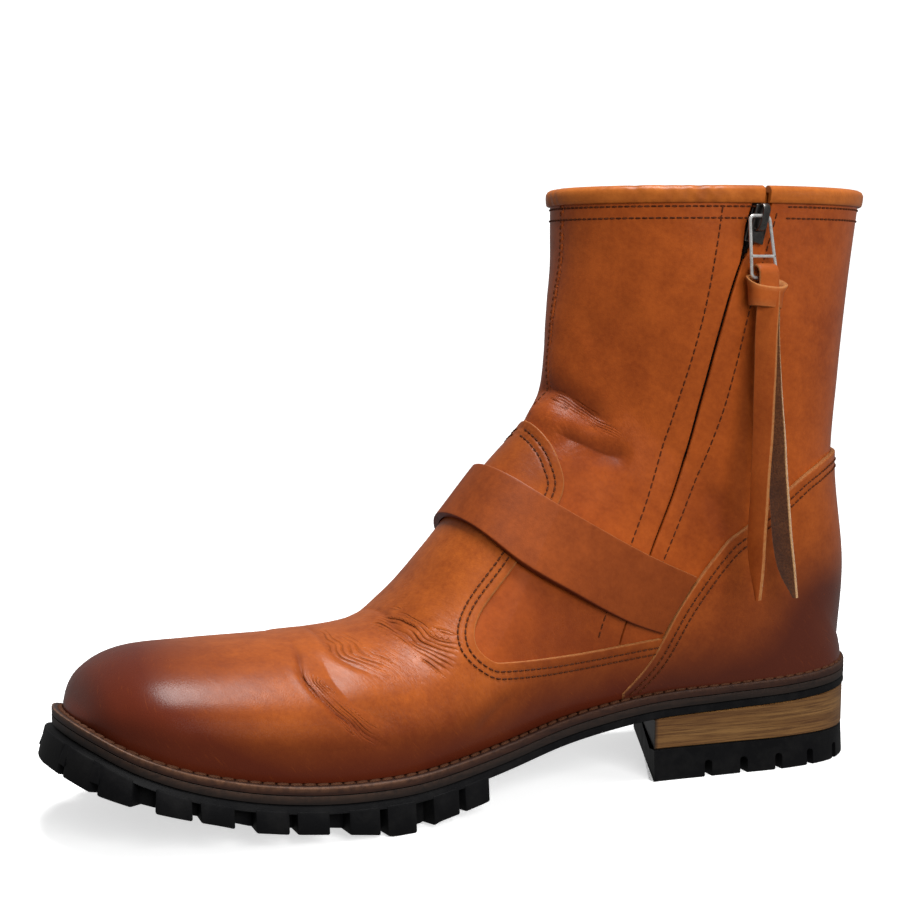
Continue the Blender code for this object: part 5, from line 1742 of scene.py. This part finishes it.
def make_outsole():
    layer("outsole_layer", under_welt(OUTSOLE_EDGE), "rubber", "rubber", "outsole")
    spans, toe = lug_spans()
    bodies = [lug_body(np.linspace(-toe, toe, 25))]
    for side in (-1, 1):
        for start, end in spans:
            bodies.append(lug_body(side * np.linspace(start, end, 7)))
        ends = [toe, *(end for start, end in spans[:-1])]
        for number, (end, (start, _)) in enumerate(zip(ends, spans)):
            back, lift = WEBS[min(number // 2, 1)]
            bodies.append(lug_body(side * np.linspace(end - 0.5, start + 0.5, 5), back, lift))
    for distance in STUDS:
        middle = float(np.interp(distance, OUTLINE_DISTANCE, OUTLINE_CENTRE))
        top = float(welt_top(distance)) - RUBBER_BOTTOM + LUG_ROOT
        low = max(float(floor_height(distance + side * STUD_SIZE[0] / 2)) for side in (-1, 1))
        centre = (distance - ORIGIN, middle, (top + low) / 2)
        bodies.append(rounded_block(centre, (*STUD_SIZE, top - low), 0.7))
    add_body("outsole_lugs", *gather(bodies), "rubber", "rubber", sharp=0.5)


def notch_bodies():
    """Blocks that stand across the edge of the heel lift."""
    loop = outline_loop(0.3, BREAST, 400)
    run = arc_length(loop)
    bodies = []
    for place in np.arange(NOTCH_START, run[-1] - NOTCH_PITCH, NOTCH_PITCH):
        distance, y = at_length(place, run, loop)
        ahead, ahead_y = at_length(place + 1, run, loop)
        points, sides = rounded_block((0, 0, 0), NOTCH_SIZE, 1.2)
        angle = np.arctan2(ahead_y - y, ahead - distance)
        along, aside = np.cos(angle), np.sin(angle)
        turned = points @ np.array(((along, aside, 0), (-aside, along, 0), (0, 0, 1)))
        bodies.append((turned + (distance - ORIGIN, y, 0), sides))
    return bodies


def make_heel():
    layer("heel_block", under_welt(BLOCK_EDGE) + level(BLOCK_FOOT), "wood", "stacked_heel", "heel_block",
          start=BREAST, count=HEEL_POINTS)
    lift = layer("heel_lift", level(LIFT_EDGE), "rubber", "rubber", "heel_lift", start=BREAST,
                 count=HEEL_POINTS)
    points, sides = gather(notch_bodies())
    mesh = bpy.data.meshes.new("notches")
    mesh.from_pydata((MM * points).tolist(), [], sides)
    cutter = link(bpy.data.objects.new("notches", mesh))
    outward(cutter)
    cut = lift.modifiers.new("notches", "BOOLEAN")
    cut.operation = "DIFFERENCE"
    cut.object = cutter
    bpy.context.view_layer.update()
    graph = bpy.context.evaluated_depsgraph_get()
    mesh = bpy.data.meshes.new_from_object(lift.evaluated_get(graph))
    lift.modifiers.clear()
    lift.data = mesh
    mesh.materials.clear()
    mesh.materials.append(FINISH["rubber"])
    bpy.data.objects.remove(cutter, do_unlink=True)


def make_sole():
    layer("welt", under_welt(WELT_EDGE), "welt", "welt", "welt", ring=True)
    layer("midsole", under_welt(MIDSOLE_EDGE), "midsole", "midsole", "midsole")
    layer("insole", under_welt(INSOLE_EDGE), "insole", "insole_leather", "insole")
    rows = []
    for side in (-1, 1):
        distance, y = edge(side, 0.52 * FEATHER)
        spots = np.column_stack([distance - ORIGIN, y, welt_top(distance) + 0.12])
        spots = spots[np.concatenate([[True], np.diff(arc_length(spots)) > 1e-6])]
        up = np.tile((0.0, 0.0, 1.0), (len(spots), 1))
        rows += bead_row(spots, up, WELT_STITCH, 8, lean=0.12, flat=0.7)
    add_body("welt_stitches", *gather(rows), "welt_thread", "welt")
    make_outsole()
    make_heel()


# Studio

CAMERA_YAW = np.radians(25.0)
CAMERA_PITCH = np.radians(5.3)
CAMERA_DISTANCE = 654.0
CAMERA_TARGET = (-9.5, 0.0, 117.0)
CAMERA_LENS = 75.4
GROUND_FRONT = 9.0
GROUND_BACK = 0.9
GROUND_BEND = 0.6
GROUND_HEIGHT = 2.2
GROUND_HALF = 9.0
GROUND_GLOW = 0.62
GROUND_TONES = ((0.95, 0.95, 0.95), (0.92, 0.92, 0.92))
WHITE = (1.0, 1.0, 1.0, 1.0)
SKY_LIGHT = 0.22
# Lights: place, target, size, power and whether they show in reflections
LIGHTS = {
    "top": ((0.05, 0.0, 1.2), (0.0, 0.0, 0.05), (0.7, 0.5), 18.0, True),
    "side": ((0.7, -0.5, 0.35), (0.05, 0.0, 0.12), (0.4, 0.4), 1.5, False),
    "key": ((-0.04, -0.70, 0.34), (0.0, 0.0, 0.13), (0.4, 0.4), 4.1, False),
}


def aim(made, place, direction):
    made.location = place
    made.rotation_mode = "QUATERNION"
    made.rotation_quaternion = direction.to_track_quat("-Z", "Y")


def area_light(name, place, target, size, power, glossy):
    light = bpy.data.lights.new(name, "AREA")
    light.shape = "RECTANGLE"
    light.size, light.size_y = size
    light.energy = power
    made = link(bpy.data.objects.new(name, light))
    made.visible_glossy = glossy
    aim(made, place, Vector(target) - Vector(place))


def make_ground():
    """A plain white floor that sweeps up behind the boot into a backdrop."""
    turn = np.linspace(0, np.pi / 2, 13)
    sweep = [(GROUND_BACK + GROUND_BEND * np.sin(a), GROUND_BEND * (1 - np.cos(a))) for a in turn]
    line = [(-GROUND_FRONT, 0.0), *sweep, (GROUND_BACK + GROUND_BEND, GROUND_HEIGHT)]
    points = []
    for away, height in line:
        for across in (-GROUND_HALF, GROUND_HALF):
            x = np.cos(CAMERA_YAW) * across + np.sin(CAMERA_YAW) * away
            y = np.cos(CAMERA_YAW) * away - np.sin(CAMERA_YAW) * across
            points.append((x, y, height))
    mesh = bpy.data.meshes.new("floor")
    mesh.from_pydata(points, [], [(2 * i, 2 * i + 1, 2 * i + 3, 2 * i + 2) for i in range(len(line) - 1)])
    mesh.shade_smooth()
    made, tree, shader = new_material("pale_floor")
    grain = noise(tree, places(tree), 3.0, 2)
    dress(tree, shader, Base_Color=blend(tree, grain, *GROUND_TONES), Roughness=0.7, Emission_Color=WHITE,
          Emission_Strength=GROUND_GLOW)
    mesh.materials.append(made)
    ground = link(bpy.data.objects.new("floor", mesh))
    ground.visible_glossy = False
    ground.visible_diffuse = False


def make_studio():
    world = bpy.data.worlds.new("studio")
    world.use_nodes = True
    dress(world.node_tree, world.node_tree.nodes["Background"], Color=WHITE, Strength=SKY_LIGHT)
    bpy.context.scene.world = world
    for name, settings in LIGHTS.items():
        area_light(name, *settings)
    make_ground()
    lens = bpy.data.cameras.new("camera")
    lens.lens = CAMERA_LENS
    lens.sensor_width = 36.0
    camera = link(bpy.data.objects.new("camera", lens))
    level_part = np.cos(CAMERA_PITCH)
    back = Vector((-np.sin(CAMERA_YAW) * level_part, -np.cos(CAMERA_YAW) * level_part, np.sin(CAMERA_PITCH)))
    aim(camera, MM * (Vector(CAMERA_TARGET) + CAMERA_DISTANCE * back), -back)
    bpy.context.scene.camera = camera
    bpy.context.scene.view_settings.view_transform = "Standard"


def main():
    make_studio()
    vamp_edge = make_panels()
    make_counter()
    make_stitches(vamp_edge)
    make_binding()
    make_back_stay()
    make_strap()
    make_zip()
    make_slider()
    make_pull()
    make_thong()
    make_sole()


main()
